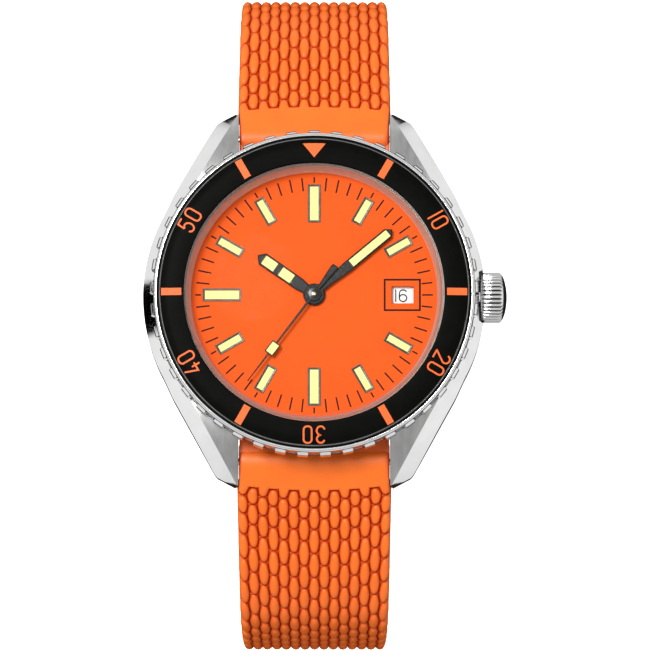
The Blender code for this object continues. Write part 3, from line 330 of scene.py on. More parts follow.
def join(ob, *others):
    for o in others:
        boolean(ob, o, "UNION")
    return ob


def merged(name, objects):
    """Several separate solids kept as one object."""
    bm = bmesh.new()
    for o in objects:
        bm.from_mesh(o.data)
        bpy.data.objects.remove(o, do_unlink=True)
    return made(bm, name)


def piece(ob, name, body, mats, replaces=(), smooth=30.0, bevel=0.0, segments=2, limit=28.0, weighted=True):
    """Puts a finished solid in the frame of the CAD model, in metres, gives it its materials and lets it ride on its body."""
    me = ob.data
    bm = bmesh.new()
    bm.from_mesh(me)
    bmesh.ops.remove_doubles(bm, verts=bm.verts, dist=1e-4)
    bmesh.ops.dissolve_degenerate(bm, edges=bm.edges, dist=1e-4)
    bmesh.ops.recalc_face_normals(bm, faces=bm.faces)
    bm.to_mesh(me)
    bm.free()
    me.transform(Matrix.Scale(0.001, 4) @ Matrix.Translation((0, 0, BACK_Z)))
    me.shade_smooth()
    me.set_sharp_from_angle(angle=math.radians(smooth))
    ob.name = me.name = name
    faces = [f.material_index for f in me.polygons]
    me.materials.clear()
    for m in mats if isinstance(mats, (list, tuple)) else [mats]:
        me.materials.append(m)
    for f, k in zip(me.polygons, faces):
        f.material_index = min(k, len(me.materials) - 1)
    if bevel:
        b = ob.modifiers.new("edges", "BEVEL")
        b.width, b.segments, b.limit_method, b.angle_limit = bevel * 0.001, segments, "ANGLE", math.radians(limit)
        b.use_clamp_overlap = True
        b.miter_outer = "MITER_ARC"
        if weighted:
            w = ob.modifiers.new("shading", "WEIGHTED_NORMAL")
            w.keep_sharp = True
    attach(ob, body)
    if replaces:
        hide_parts(*([replaces] if isinstance(replaces, str) else replaces))
    return ob


def polar(r, degrees):
    return r * math.cos(math.radians(degrees)), r * math.sin(math.radians(degrees))


def clockwise(r, degrees):
    return r * math.sin(math.radians(degrees)), r * math.cos(math.radians(degrees))


def curve(points, per=8):
    """Catmull-Rom through points, with the ends kept."""
    k = [points[0]] + list(points) + [points[-1]]
    out = []
    for i in range(1, len(k) - 2):
        p0, p1, p2, p3 = (Vector(p) for p in k[i - 1:i + 3])
        for j in range(per):
            t = j / per
            out.append(tuple(0.5 * ((2 * p1) + (p2 - p0) * t + (2 * p0 - 5 * p1 + 4 * p2 - p3) * t * t + (3 * p1 - p0 - 3 * p2 + p3) * t ** 3)))
    out.append(tuple(k[-2]))
    return out


def stroke(points, width, closed=False, round_ends=True):
    """Outline of a drawn line of even width; a closed line gives (outer, inner)."""
    pts = [Vector(p) for p in points]
    n = len(pts)
    left, right = [], []
    for i, p in enumerate(pts):
        a = pts[i - 1] if i or closed else None
        b = pts[(i + 1) % n] if i < n - 1 or closed else None
        d1 = (p - a).normalized() if a is not None else (b - p).normalized()
        d2 = (b - p).normalized() if b is not None else d1
        t = (d1 + d2).normalized()
        nrm = Vector((-t.y, t.x))
        grow = 1.0 / max(0.5, nrm.dot(Vector((-d1.y, d1.x))))
        left.append(p + nrm * width / 2 * grow)
        right.append(p - nrm * width / 2 * grow)
    if closed:
        return left, right
    if round_ends:
        def cap(centre, start):
            a0 = math.atan2(start.y, start.x)
            return [centre + Vector((math.cos(a0 - math.pi * k / 6), math.sin(a0 - math.pi * k / 6))) * width / 2 for k in range(1, 6)]
        end = cap(pts[-1], left[-1] - pts[-1])
        begin = cap(pts[0], right[0] - pts[0])
        return left + end + right[::-1] + begin, None
    return left + right[::-1], None


def arc(cx, cy, rx, ry, start, end, steps=14):
    return [(cx + rx * math.cos(math.radians(start + (end - start) * k / steps)), cy + ry * math.sin(math.radians(start + (end - start) * k / steps))) for k in range(steps + 1)]


def oblong(w, h, r, steps=8):
    """A closed upright line with round corners, centred."""
    out = []
    for cx, cy, a in ((w - r, h - r, 0), (-w + r, h - r, 90), (-w + r, -h + r, 180), (w - r, -h + r, 270)):
        out += arc(cx, cy, r, r, a, a + 90, steps)
    return out


# Digits as drawn lines in a box of half width w and half height 1: (points, closed)
def digit(c, w=0.5):
    if c == "0":
        return [(oblong(w, 1.0, min(w, 0.42)), True)]
    if c == "1":
        return [([(0.0, -1.0), (0.0, 1.0)], False)]
    if c == "2":
        return [(arc(0, 1 - w, w, w, 165, -30, 14) + [(-w * 0.9, -0.98)], False), ([(-w * 0.95, -1.0), (w, -1.0)], False)]
    if c == "3":
        return [(arc(0, 0.53, w * 0.94, 0.47, 155, -88, 16), False), (arc(0, -0.47, w, 0.53, 86, -155, 18), False)]
    if c == "4":
        return [([(w * 0.45, -1.0), (w * 0.45, -0.1)], False), ([(w * 0.1, 1.0), (-w, -0.5), (w, -0.5)], False)]
    if c == "5":
        return [([(w * 0.85, 1.0), (-w * 0.72, 1.0), (-w * 0.86, 0.12)] + arc(0, -0.37, w, 0.63, 132, -150, 18), False)]
    if c == "6":
        return [(arc(0, -0.4, w, 0.6, 0, 360, 28)[:-1], True), (arc(0.02, 0.42, w, 0.58, 35, 180, 12) + [(-w, -0.4)], False)]
    if c == "7":
        return [([(-w, 1.0), (w, 1.0), (-w * 0.3, -1.0)], False)]
    if c == "8":
        return [(arc(0, 0.53, w * 0.9, 0.47, -90, 270, 26)[:-1], True), (arc(0, -0.47, w, 0.53, 90, 450, 28)[:-1], True)]
    return [(arc(0, 0.4, w, 0.6, 0, 360, 28)[:-1], True), (arc(-0.02, -0.42, w, 0.58, 215, 360, 12) + [(w, 0.4)], False)]


def raised(bm, outline, height, depth, inner=None, shift=lambda x, y: (x, y)):
    """A thin printed or inlaid shape: top at height(x, y), sides down by depth. inner is the hole's outline, of equal count."""
    o = [shift(x, y) for x, y in outline]
    top = [bm.verts.new((x, y, height(x, y))) for x, y in o]
    low = [bm.verts.new((x, y, height(x, y) - depth)) for x, y in o]
    stitch(bm, top, low)
    if inner is None:
        faces = [bm.faces.new(top), bm.faces.new(low[::-1])]
        bmesh.ops.triangulate(bm, faces=faces)
    else:
        i = [shift(x, y) for x, y in inner]
        top_in = [bm.verts.new((x, y, height(x, y))) for x, y in i]
        low_in = [bm.verts.new((x, y, height(x, y) - depth)) for x, y in i]
        stitch(bm, top_in, low_in)
        stitch(bm, top, top_in)
        stitch(bm, low, low_in)


def written(bm, text, half_height, half_width, gap, line, height, depth, place):
    """Digits side by side, centred, raised on a surface. place maps the text's own (x, y) to the plane."""
    widths = [0.0 if c == "1" else 2 * half_width for c in text]
    x = -(sum(widths) + gap * (len(text) - 1)) / 2
    for c, w in zip(text, widths):
        centre = x + w / 2
        for points, closed in digit(c, half_width / half_height):
            pts = [(centre + px * half_height, py * half_height) for px, py in points]
            outer, inner = stroke(pts, line, closed)
            raised(bm, outer, height, depth, inner, lambda a, b: place(a, b))
        x += w + gap


# ------------------------------------------------------------------ case
CASE_LINE = [(0, 7.5), (12.5, 7.5), (15.0, 7.15), (17.5, 6.35), (19.7, 5.3), (21.5, 4.25), (23.0, 3.05), (23.9, 2.2)]
RIDGE_R, RIDGE_DEG, BEVEL_DEG = 19.86, 29.2, 50.0
TOP_LINE = CASE_LINE[:2] + curve(CASE_LINE[1:], 4)[1:]


def lug_outline():
    quarter = [polar(CASE_R, a) for a in [1.5 * k for k in range(20)]]
    quarter += [(17.6, 12.8), (15.14, 17.2), (12.68, 21.6), (12.42, 22.03), (12.1, 22.4), (11.0, 23.0), (9.9, LUG_TIP_Y), (LUG_HALF_GAP, LUG_TIP_Y - 0.25), (LUG_HALF_GAP, 16.0)]
    top = quarter + [(-x, y) for x, y in reversed(quarter)]
    return top + [(-x, -y) for x, y in top[1:-1]]


def case_side():
    low = curve([(23.9, 0.75), (22.6, 0.3), (20.0, 0.35), (17.0, 0.85), (14.0, 1.2)], 3) + [(0, 1.2)]
    half = TOP_LINE + low
    return half + [(-y, z) for y, z in reversed(half[1:-1])]


def case_height(y):
    y = abs(y)
    for (y0, z0), (y1, z1) in zip(TOP_LINE, TOP_LINE[1:]):
        if y <= y1:
            return z0 + (z1 - z0) * (y - y0) / (y1 - y0)
    return TOP_LINE[-1][1] - (y - TOP_LINE[-1][0]) * 0.94


def ridge_stations():
    """The ridge with its outward direction: straight over a lug, round the flank, straight over the other lug."""
    c, sn = math.cos(math.radians(RIDGE_DEG)), math.sin(math.radians(RIDGE_DEG))
    lug = [((RIDGE_R - y * sn) / c, y, RIDGE_DEG) for y in [25.5] + [y for y, _ in reversed(TOP_LINE[1:])]]
    flank = [(*polar(RIDGE_R, RIDGE_DEG * (1 - k / 14)), RIDGE_DEG * (1 - k / 14)) for k in range(29)]
    return lug + flank + [(x, -y, -a) for x, y, a in reversed(lug)]


case = prism("case", lug_outline(), -2, 12)
boolean(case, moved(prism("side", case_side(), -30, 30), TO_YZ), "INTERSECT")
for sx in (1, -1):
    bm = bmesh.new()
    rows = []
    t = math.radians(BEVEL_DEG)
    for x, y, a in ridge_stations():
        nx, ny = polar(1, a)
        z = case_height(y)
        section = [(-0.1 * math.cos(t), z + 0.1 * math.sin(t)), (7 * math.cos(t), z - 7 * math.sin(t)), (7.0, z + 6), (-0.1 * math.cos(t), z + 6)]
        rows.append([bm.verts.new((sx * (x + d * nx), y + d * ny, h)) for d, h in section])
    for p, q in zip(rows, rows[1:]):
        stitch(bm, p, q)
    bm.faces.new(rows[0])
    bm.faces.new(rows[-1])
    cut(case, made(bm, "flank"))
bm = bmesh.new()
bm.from_mesh(case.data)
for sx in (1, -1):
    for sy in (1, -1):
        steep = math.radians(66)
        normal = Vector((0.4125 * sx * math.sin(steep), 0.911 * sy * math.sin(steep), math.cos(steep)))
        geom = bm.verts[:] + bm.edges[:] + bm.faces[:]
        bmesh.ops.bisect_plane(bm, geom=geom, plane_co=Vector((10.71 * sx, 22.56 * sy, 3.4)), plane_no=normal, clear_outer=True, dist=1e-5)
        bmesh.ops.holes_fill(bm, edges=[e for e in bm.edges if e.is_boundary], sides=0)
bmesh.ops.recalc_face_normals(bm, faces=bm.faces)
bm.to_mesh(case.data)
bm.free()
join(case, lathe("neck", [(16.3, 7.0), (NECK_R, 7.0), (NECK_R, 8.5), (17.6, 8.6), (17.6, 9.05), (NECK_R, 9.1), (NECK_R, NECK_TOP), (16.3, NECK_TOP)]))
cut(case, stack("cavity", [(circle(16.75), -1), (circle(16.75), 1.65), (circle(15.6), 1.65), (circle(15.6), 6.95), (circle(16.15), 6.95), (circle(16.15), 9.3), (circle(16.75), 9.3), (circle(16.75), 12)]))
cut(case, moved(rod("tube_hole", 1.3, 12, 24, 40), Matrix.Translation((0, 0, CROWN_Z)) @ TO_X))
cut(case, moved(rod("crown_recess", 3.5, 20.55, 26, 72), Matrix.Translation((0, 0, CROWN_Z)) @ TO_X))
for sy in (1, -1):
    wall = stack("between_lugs", [(circle(30, 144), -3), (circle(30, 144), 7.45), (circle(18.15, 144), 7.45), (circle(18.15, 144), -3)], closed=True)
    boolean(wall, block("keep", (-LUG_HALF_GAP, sy * 24 - 11, -4), (LUG_HALF_GAP, sy * 24 + 11, 12)), "INTERSECT")
    cut(case, wall)
    cut(case, moved(rod("bar_hole", 0.6, -10.75, 10.75, 24), Matrix.Translation((0, sy * BAR_Y, BAR_Z)) @ TO_X))
for f in case.data.polygons:
    n, c = f.normal, f.center
    r = math.hypot(c.x, c.y)
    plan = math.hypot(n.x, n.y)
    towards_side = abs(n.x) / max(plan, 1e-6)
    f.material_index = 0 if n.z > 0.7 and (towards_side < 0.3 or n.z > 0.97) and r > 17 else (2 if abs(n.z) < 0.12 and r > 20 else (3 if n.z < -0.5 or r < 17.5 else 1))
piece(case, "case_body", "case", [STEEL_TOP, STEEL_POLISHED, STEEL_SIDE, STEEL_BACK], "case_middle", smooth=18, bevel=0.07, limit=20)

back = lathe("back", [(0.02, 0.06), (9.6, 0.06), (9.7, 0.0), (9.9, 0.0), (10.0, 0.06), (13.2, 0.06), (13.3, 0.0), (14.3, 0.0), (16.2, 0.5), (16.5, 0.8), (16.5, 1.55), (15.45, 1.55),
                      (15.45, 2.85), (14.9, 2.85), (14.9, 1.6), (0.02, 1.6)], closed=False)
for k in range(6):
    cut(back, moved(block("notch", (-1.1, 14.7, -0.5), (1.1, 17.5, 0.62)), Matrix.Rotation(TAU * k / 6 + 0.26, 4, "Z")))
piece(back, "case_back_cover", "case", STEEL_BACK, "case_back", bevel=0.05)


# ------------------------------------------------------------------ bezel ring
def bezel_outline(tip, root, half_tip=1.8, half_root=2.35, steps=3):
    """45 teeth: each has an arc for its tip and one for the gap after it."""
    out = []
    for k in range(45):
        mid = 90 + 8 * k
        for j in range(steps + 1):
            out.append(polar(tip, mid - half_tip + 2 * half_tip * j / steps))
        for j in range(steps + 1):
            out.append(polar(root, mid + half_root + (8 - 2 * half_root) * j / steps))
    return out


N_BEZEL = len(bezel_outline(1, 1))
spread = bezel_outline(1.0, 1.0)


def ring_like(r):
    return [(x * r, y * r) for x, y in spread]


bezel_rings = [
    (ring_like(20.12), 7.8), (bezel_outline(20.32, 20.0), 7.8), (bezel_outline(20.45, 20.0), 7.95), (bezel_outline(20.45, 20.0), 8.35), (bezel_outline(20.45, 19.96), 9.72),
    (bezel_outline(20.41, 19.96), 9.86), (bezel_outline(20.26, 20.0), 10.06), (bezel_outline(20.1, 20.02), 10.24), (ring_like(20.02), 10.36), (ring_like(19.97), 10.5),
    (ring_like(19.88), 10.62), (ring_like(19.76), 10.69), (ring_like(19.63), 10.705), (ring_like(19.57), 10.66), (ring_like(19.56), 10.28), (ring_like(16.3), 10.28), (ring_like(16.3), 9.85),
    (ring_like(18.1), 9.85), (ring_like(18.1), 9.12), (ring_like(18.38), 9.05), (ring_like(18.38), 8.6), (ring_like(18.1), 8.5), (ring_like(18.1), 7.8)]
bezel = stack("bezel", bezel_rings, closed=True)
piece(bezel, "bezel_toothed_ring", "bezel", STEEL_BEZEL, "bezel_ring", smooth=32, bevel=0.03, segments=2, limit=38)


# ------------------------------------------------------------------ bezel insert and its scale
def insert_height(x, y):
    return 10.74 + (19.36 - min(19.36, math.hypot(x, y))) / 2.96 * 0.31


# the fifth band, the outer chamfer, takes the grey painted highlight
insert = lathe("insert", [(16.2, 10.32), (19.53, 10.32), (19.53, 10.5), (19.32, 10.52), (19.3, 10.6), (19.14, insert_height(19.14, 0)), (18.0, insert_height(18.0, 0)), (16.42, insert_height(16.42, 0)), (16.26, 11.02), (16.2, 10.94)],
               index=[0, 0, 0, 0, 1, 0, 0, 0, 0, 0])
piece(insert, "insert_plate", "bezel", [INSERT, INSERT_EDGE_PAINTED_SHEEN], "bezel_insert", smooth=40)

bm = bmesh.new()
up = lambda x, y: insert_height(x, y) + 0.018
raised(bm, [(-1.43, 18.58), (0.0, 16.82), (1.43, 18.58), (0.7, 18.61), (0, 18.62), (-0.7, 18.61)], up, 0.06)
for minute in (5, 15, 25, 35, 45, 55):
    raised(bm, turned([(-0.45, 16.5), (0.45, 16.5), (0.45, 19.0), (-0.45, 19.0)], -6 * minute), up, 0.06)
for tens in range(1, 6):
    turn = -60.0 * tens
    written(bm, f"{tens}0", 1.02, 0.5, 0.62, 0.22, up, 0.06, lambda a, b: turned([(a, 17.86 + b)], turn)[0])
scale = made(bm, "scale")
piece(scale, "insert_scale", "bezel", SCALE_ORANGE, smooth=40)

# ------------------------------------------------------------------ crystal, flange, dial
crystal_profile = [(0.02, 13.6)]
for k in range(1, 15):
    r = 15.7 * k / 14
    crystal_profile.append((r, 11.45 + 2.15 * (1 - (r / 15.9) ** 2)))
outer_count = len(crystal_profile)
crystal_profile += [(15.86, 11.4), (16.02, 11.24), (16.08, 11.1), (16.08, 9.36), (15.3, 9.36), (15.2, 9.95)]
for k in range(9, 0, -1):
    r = 15.2 * k / 10
    crystal_profile.append((r, 9.95 + 2.05 * (1 - (r / 15.2) ** 2)))
crystal_profile.append((0.02, 12.0))
bands = [0] * (len(crystal_profile) - 1)
for k in range(outer_count - 1, outer_count + 4):
    bands[k] = 1
crystal = lathe("crystal", crystal_profile, closed=False, index=bands)
piece(crystal, "crystal_dome", "case", [CRYSTAL, CRYSTAL_RIM], "crystal", smooth=40)

# flange ring, coloured with the painted reflection of the dial
flange = lathe("flange", [(15.35, 7.53), (16.08, 7.53), (16.08, 9.3), (15.98, 9.3), (15.9, 9.12), (15.38, 7.9), (15.35, 7.82)])
piece(flange, "flange_ring", "case", FLANGE_PAINTED_REFLECTION, "rehaut_ring", smooth=40)

dial = stack("dial", [(circle(1.0), 7.1), (circle(16.05), 7.1), (circle(16.05), 7.48), (circle(16.03), DIAL_TOP), (circle(1.04), DIAL_TOP), (circle(1.0), 7.47)], closed=True)
window = stack("window", [([(9.72, -1.04), (12.38, -1.04), (12.38, 1.04), (9.72, 1.04)], 5), ([(9.72, -1.04), (12.38, -1.04), (12.38, 1.04), (9.72, 1.04)], 7.36),
                          ([(9.6, -1.16), (12.5, -1.16), (12.5, 1.16), (9.6, 1.16)], 7.56), ([(9.6, -1.16), (12.5, -1.16), (12.5, 1.16), (9.6, 1.16)], 9)])
cut(dial, window)
piece(dial, "dial_plate", "case", DIAL, "dial", smooth=30)

bm = bmesh.new()
flat = lambda h: (lambda x, y: DIAL_TOP + h)
for minute in range(60):
    if minute % 5 == 0 and minute != 15:
        r0, r1 = 14.12, 14.84
    elif minute in (14, 15, 16):
        r0, r1 = 13.46, 14.8
    else:
        r0, r1 = 13.12, 14.78
    raised(bm, turned([(-0.095, r0), (0.095, r0), (0.095, r1), (-0.095, r1)], -6 * minute), flat(0.012), 0.03)
fx, fw, fh = 10.98, 2.31, 2.03
raised(bm, [(fx + fw, -fh), (fx + fw, fh), (fx - fw, fh), (fx - fw, -fh)], flat(0.012), 0.03, [(fx + fw - 0.23, -fh + 0.23), (fx + fw - 0.23, fh - 0.23), (fx - fw + 0.23, fh - 0.23), (fx - fw + 0.23, -fh + 0.23)])
piece(made(bm, "print"), "dial_print", "case", PRINT, smooth=40)

bm = bmesh.new()
bm_lume = bmesh.new()
for hour in range(12):
    if hour == 3:
        continue
    r0, w = (9.12, 0.8) if hour in (0, 6, 9) else (10.36, 0.68)
    r1, e = 13.9, 0.26
    o = [(-w, r0), (w, r0), (w, r1), (-w, r1)]
    i = [(-w + e, r0 + e), (w - e, r0 + e), (w - e, r1 - e), (-w + e, r1 - e)]
    raised(bm, turned(o, -30 * hour), flat(0.13), 0.16, turned(i, -30 * hour))
    raised(bm_lume, turned(i, -30 * hour), flat(0.085), 0.11)
piece(made(bm, "frames"), "marker_frames", "case", MARKER, smooth=30, bevel=0.025, segments=2)
piece(made(bm_lume, "lume"), "marker_fill", "case", LUME, smooth=30)

# ------------------------------------------------------------------ date disc
disc_in = []
for i in range(31):
    a = 360 * i / 31 + 3
    disc_in += [polar(9.5, a), polar(9.42, a + 1.6), polar(9.06, a + 4.2), polar(9.0, a + 5.8), polar(9.06, a + 7.4), polar(9.42, a + 10.0)]
angles = [math.degrees(math.atan2(y, x)) for x, y in disc_in]
disc_out = [polar(12.7, a) for a in angles]
disc = stack("disc", [(disc_in, 6.42), (disc_out, 6.42), (disc_out, 6.66), ([(x * 0.998, y * 0.998) for x, y in disc_out], 6.68), (disc_in, 6.68)], closed=True)
piece(disc, "date_wheel", "date", DATE, "date_disc", smooth=40)
bm = bmesh.new()
for day in range(1, 32):
    turn = (day - 16) * 360 / 31
    written(bm, str(day), 0.73, 0.46, 0.44, 0.165, lambda x, y: 6.69, 0.02, lambda a, b: turned([(10.86 + a, b)], turn)[0])
piece(made(bm, "days"), "date_numerals", "date", DATE_INK, smooth=40)


# ------------------------------------------------------------------ hands
def hand_blade(name, outline, z0, z1, crown=0.05, inset=0.22):
    """A hand's blade with sloped shoulders: the outline at its foot, a slightly smaller one at its top."""
    cx = sum(x for x, _ in outline) / len(outline)
    pts = [Vector(p) for p in outline]
    n = len(pts)
    area = sum(pts[i].x * pts[(i + 1) % n].y - pts[(i + 1) % n].x * pts[i].y for i in range(n))
    sign = 1 if area > 0 else -1
    small = []
    for i, p in enumerate(pts):
        d1, d2 = (p - pts[i - 1]).normalized(), (pts[(i + 1) % n] - p).normalized()
        n1, n2 = Vector((-d1.y, d1.x)) * sign, Vector((-d2.y, d2.x)) * sign
        m = (n1 + n2)
        m = m / max(0.6, m.length_squared / 2)
        small.append(tuple(p + m * inset))
    bm = bmesh.new()
    loops = [[bm.verts.new((x, y, z)) for x, y in o] for o, z in ((outline, z0), (outline, z1 - crown), (small, z1))]
    for a, b in zip(loops, loops[1:]):
        stitch(bm, a, b)
    bm.faces.new(loops[0])
    bm.faces.new(loops[-1])
    return made(bm, name)


def mirrored(half):
    return [(w, r) for r, w in half] + [(-w, r) for r, w in reversed(half) if w > 1e-6]


def fill_block(bm, r0, r1, half, degrees, top):
    raised(bm, turned([(-half, r0), (half, r0), (half, r1), (-half, r1)], -degrees), lambda x, y: top, 0.05)


hour = lathe("hour_hub", [(0.95, 7.74), (1.38, 7.74), (1.38, 7.93), (1.32, 7.98), (0.95, 7.98)], 64)
join(hour, hand_blade("hour_blade", turned(mirrored([(1.1, 0.62), (2.3, 0.8), (7.85, 0.83), (8.62, 0.0)]), -HOUR_DEG), 7.76, 7.97, 0.07, 0.14))
piece(hour, "hour_hand_blade", "hour", HAND, "hour_hand", smooth=25)
bm = bmesh.new()
fill_block(bm, 3.34, 5.1, 0.6, HOUR_DEG, 7.985)
fill_block(bm, 5.88, 7.66, 0.6, HOUR_DEG, 7.985)
piece(made(bm, "fill"), "hour_hand_fill", "hour", LUME, smooth=30)

minute = lathe("minute_hub", [(0.65, 8.1), (1.23, 8.1), (1.23, 8.28), (1.16, 8.34), (0.65, 8.34)], 64)
join(minute, hand_blade("minute_blade", turned(mirrored([(0.95, 0.42), (2.2, 0.44), (5.5, 0.68), (11.95, 0.68), (12.7, 0.0)]), -MINUTE_DEG), 8.12, 8.33, 0.07, 0.12))
piece(minute, "minute_hand_blade", "minute", HAND, "minute_hand", smooth=25)
bm = bmesh.new()
fill_block(bm, 6.0, 12.0, 0.47, MINUTE_DEG, 8.345)
piece(made(bm, "fill"), "minute_hand_fill", "minute", LUME, smooth=30)

second = lathe("second_hub", [(0.16, 8.46), (0.93, 8.46), (0.93, 8.62), (0.86, 8.69), (0.42, 8.7), (0.3, 8.72), (0.16, 8.72)], 64)
join(second, hand_blade("second_blade", turned(mirrored([(0.7, 0.16), (7.7, 0.12), (7.72, 0.6), (9.42, 0.6), (9.44, 0.12), (13.7, 0.06)]), -SECOND_DEG), 8.5, 8.66, 0.05, 0.04))
join(second, hand_blade("second_tail", turned(mirrored([(0.7, 0.2), (4.1, 0.46), (4.45, 0.36)]), -SECOND_DEG + 180), 8.5, 8.66, 0.06, 0.12))
piece(second, "seconds_hand_blade", "seconds", HAND, "seconds_hand", smooth=25)
bm = bmesh.new()
fill_block(bm, 7.86, 9.28, 0.46, SECOND_DEG, 8.672)
piece(made(bm, "fill"), "seconds_hand_fill", "seconds", LUME, smooth=30)
piece(lathe("eye", [(0.155, 8.6), (0.3, 8.6), (0.3, 8.73), (0.27, 8.745), (0.17, 8.745), (0.155, 8.73)], 48), "seconds_hand_eyelet", "seconds", HAND_PIN, smooth=40)


# ------------------------------------------------------------------ crown
def flutes(root, tip, n=36, per=8):
    out = []
    for i in range(n * per):
        f = (i % per) / per
        ridge = max(0.0, math.cos(math.pi * (f - 0.5) * 1.18)) ** 0.42
        out.append(polar(root + (tip - root) * ridge, 360 * i / (n * per)))
    return out


N_CROWN = 36 * 8
ring_c = lambda r: circle(r, N_CROWN)
along_x = Matrix.Translation((0, 0, CROWN_Z)) @ TO_X
crown = stack("crown", [
    (ring_c(1.4), 22.65), (ring_c(1.4), 20.85), (ring_c(1.5), 20.78), (ring_c(2.7), 20.78), (ring_c(2.8), 20.84), (flutes(2.78, 3.02), 20.98), (flutes(2.78, 3.14), 21.16), (flutes(2.78, 3.15), 23.12),
    (flutes(2.8, 3.06), 23.32), (ring_c(2.84), 23.44), (ring_c(2.72), 23.56), (ring_c(2.4), 23.7), (ring_c(1.9), 23.86), (ring_c(1.2), 24.0), (ring_c(0.5), 24.07)])
piece(moved(crown, along_x), "crown_fluted", "crown", STEEL_CROWN, "crown", smooth=42)


# ------------------------------------------------------------------ strap
def strap_knots(end_y, side):
    f = STRAP_FLOOR
    if side > 0:
        drop = [(24.0, 0.8), (27.6, -0.75), (31.2, -2.3), (34.4, -4.4), (37.2, -7.9), (38.9, -12.2), (39.8, -17.8), (40.0, -24.5), (39.1, -31.3),
                (36.9, -38.0), (33.3, -44.1), (28.4, -48.9), (22.8, f + 0.42), (17.5, f)]
    else:
        drop = [(24.0, 0.75), (28.1, -1.15), (32.0, -3.0), (35.65, -5.75), (38.05, -8.6), (39.5, -12.4), (40.35, -17.2), (40.65, -23.2), (39.9, -30.0),
                (37.9, -37.0), (34.5, -43.4), (29.7, -48.6), (24.0, f + 0.5), (18.0, f)]
    return [(18.1, 3.45), (BAR_Y, BAR_Z)] + drop + [(12.0, f), (6.0, f), (end_y, f), (end_y - 6.0, f)]


class Line:
    """Centre line of one strap half, by running length from the spring bar."""

    def __init__(self, end_y, side, per=24):
        k = strap_knots(end_y, side)
        pts = []
        for i in range(1, len(k) - 2):
            p0, p1, p2, p3 = (Vector(p) for p in k[i - 1:i + 3])
            for j in range(per):
                t = j / per
                pts.append(0.5 * ((2 * p1) + (p2 - p0) * t + (2 * p0 - 5 * p1 + 4 * p2 - p3) * t * t + (3 * p1 - p0 - 3 * p2 + p3) * t ** 3))
        pts.append(Vector(k[-2]))
        for p in pts:
            if p.x < 18.05:
                p.y = STRAP_FLOOR
        self.pts = pts
        self.run = [0.0]
        for a, b in zip(pts, pts[1:]):
            self.run.append(self.run[-1] + (b - a).length)
        self.dirs = []
        for i in range(len(pts)):
            self.dirs.append((pts[min(i + 1, len(pts) - 1)] - pts[max(i - 1, 0)]).normalized())

    def at(self, s):
        """Point and outward normal; before 0 it runs straight back from the spring bar."""
        if s <= 0:
            t = self.dirs[0]
            return self.pts[0] + t * s, Vector((-t.y, t.x))
        i = min(max(bisect_right(self.run, s) - 1, 0), len(self.run) - 2)
        f = (s - self.run[i]) / (self.run[i + 1] - self.run[i])
        t = self.dirs[i].lerp(self.dirs[i + 1], min(1.0, f)).normalized()
        return self.pts[i] + (self.pts[i + 1] - self.pts[i]) * f, Vector((-t.y, t.x))


def table(rows, s):
    for (a, u), (b, v) in zip(rows, rows[1:]):
        if s <= b:
            return u + (v - u) * max(0.0, s - a) / (b - a)
    return rows[-1][1]


def thickness(s):
    return table([(0, 4.2), (4, 3.7), (10, 3.3), (30, 2.9), (60, 2.6), (200, 2.6)], s)


LINE_12 = Line(BUCKLE_Y - 2, 1)
LEN_12 = next(s for p, s in zip(LINE_12.pts, LINE_12.run) if p.x <= BUCKLE_Y and s > 40)
LINE_6 = Line(-TAIL_TIP_Y, -1)
LEN_6 = LINE_6.run[-1]


def half_width_12(s):
    return table([(-3, 9.42), (3.4, 9.42), (4.4, 9.62), (30, 9.25), (LEN_12 - 6, 8.4), (LEN_12 + 3, 8.4)], s)


def half_width_6(s):
    w = table([(-3, 9.42), (3.2, 9.42), (4.2, 9.66), (30, 9.25), (70, 8.4), (200, 8.4)], s)
    past = (s - (LEN_6 - 9.0)) / 9.0
    return w if past <= 0 else w * math.sqrt(max(0.0, 1 - (0.97 * past) ** 2))


def half_thick_12(s):
    if s < 0:
        return math.sqrt(max(0.04, 2.1 ** 2 - s * s))
    if s > LEN_12:
        return math.sqrt(max(0.02, 1.3 ** 2 - (s - LEN_12) ** 2))
    return thickness(s) / 2


def half_thick_6(s):
    return math.sqrt(max(0.04, 2.1 ** 2 - s * s)) if s < 0 else thickness(s) / 2


def smooth_step(x):
    x = min(1.0, max(0.0, x))
    return x * x * (3 - 2 * x)


COLUMNS = 15
ACROSS = (-1.0, -0.97, -0.82, -0.5, 0.0, 0.5, 0.82, 0.97)      # mesh lines of one column, from groove to groove
ALONG = (0.0, 0.05, 0.14, 0.29, 0.5, 0.71, 0.86, 0.95)           # mesh rows between two neighbouring bead ends
BEAD_DEPTH, BAND_DROP = 0.66, 0.12


def bead_ends(start, stop, lengths, pitch):
    """Where the beads of the middle column end, from the plain band to the last one before stop."""
    ends = [start]
    for step in lengths:
        ends.append(ends[-1] + step)
    while ends[-1] + pitch < stop:
        ends.append(ends[-1] + pitch)
    return ends


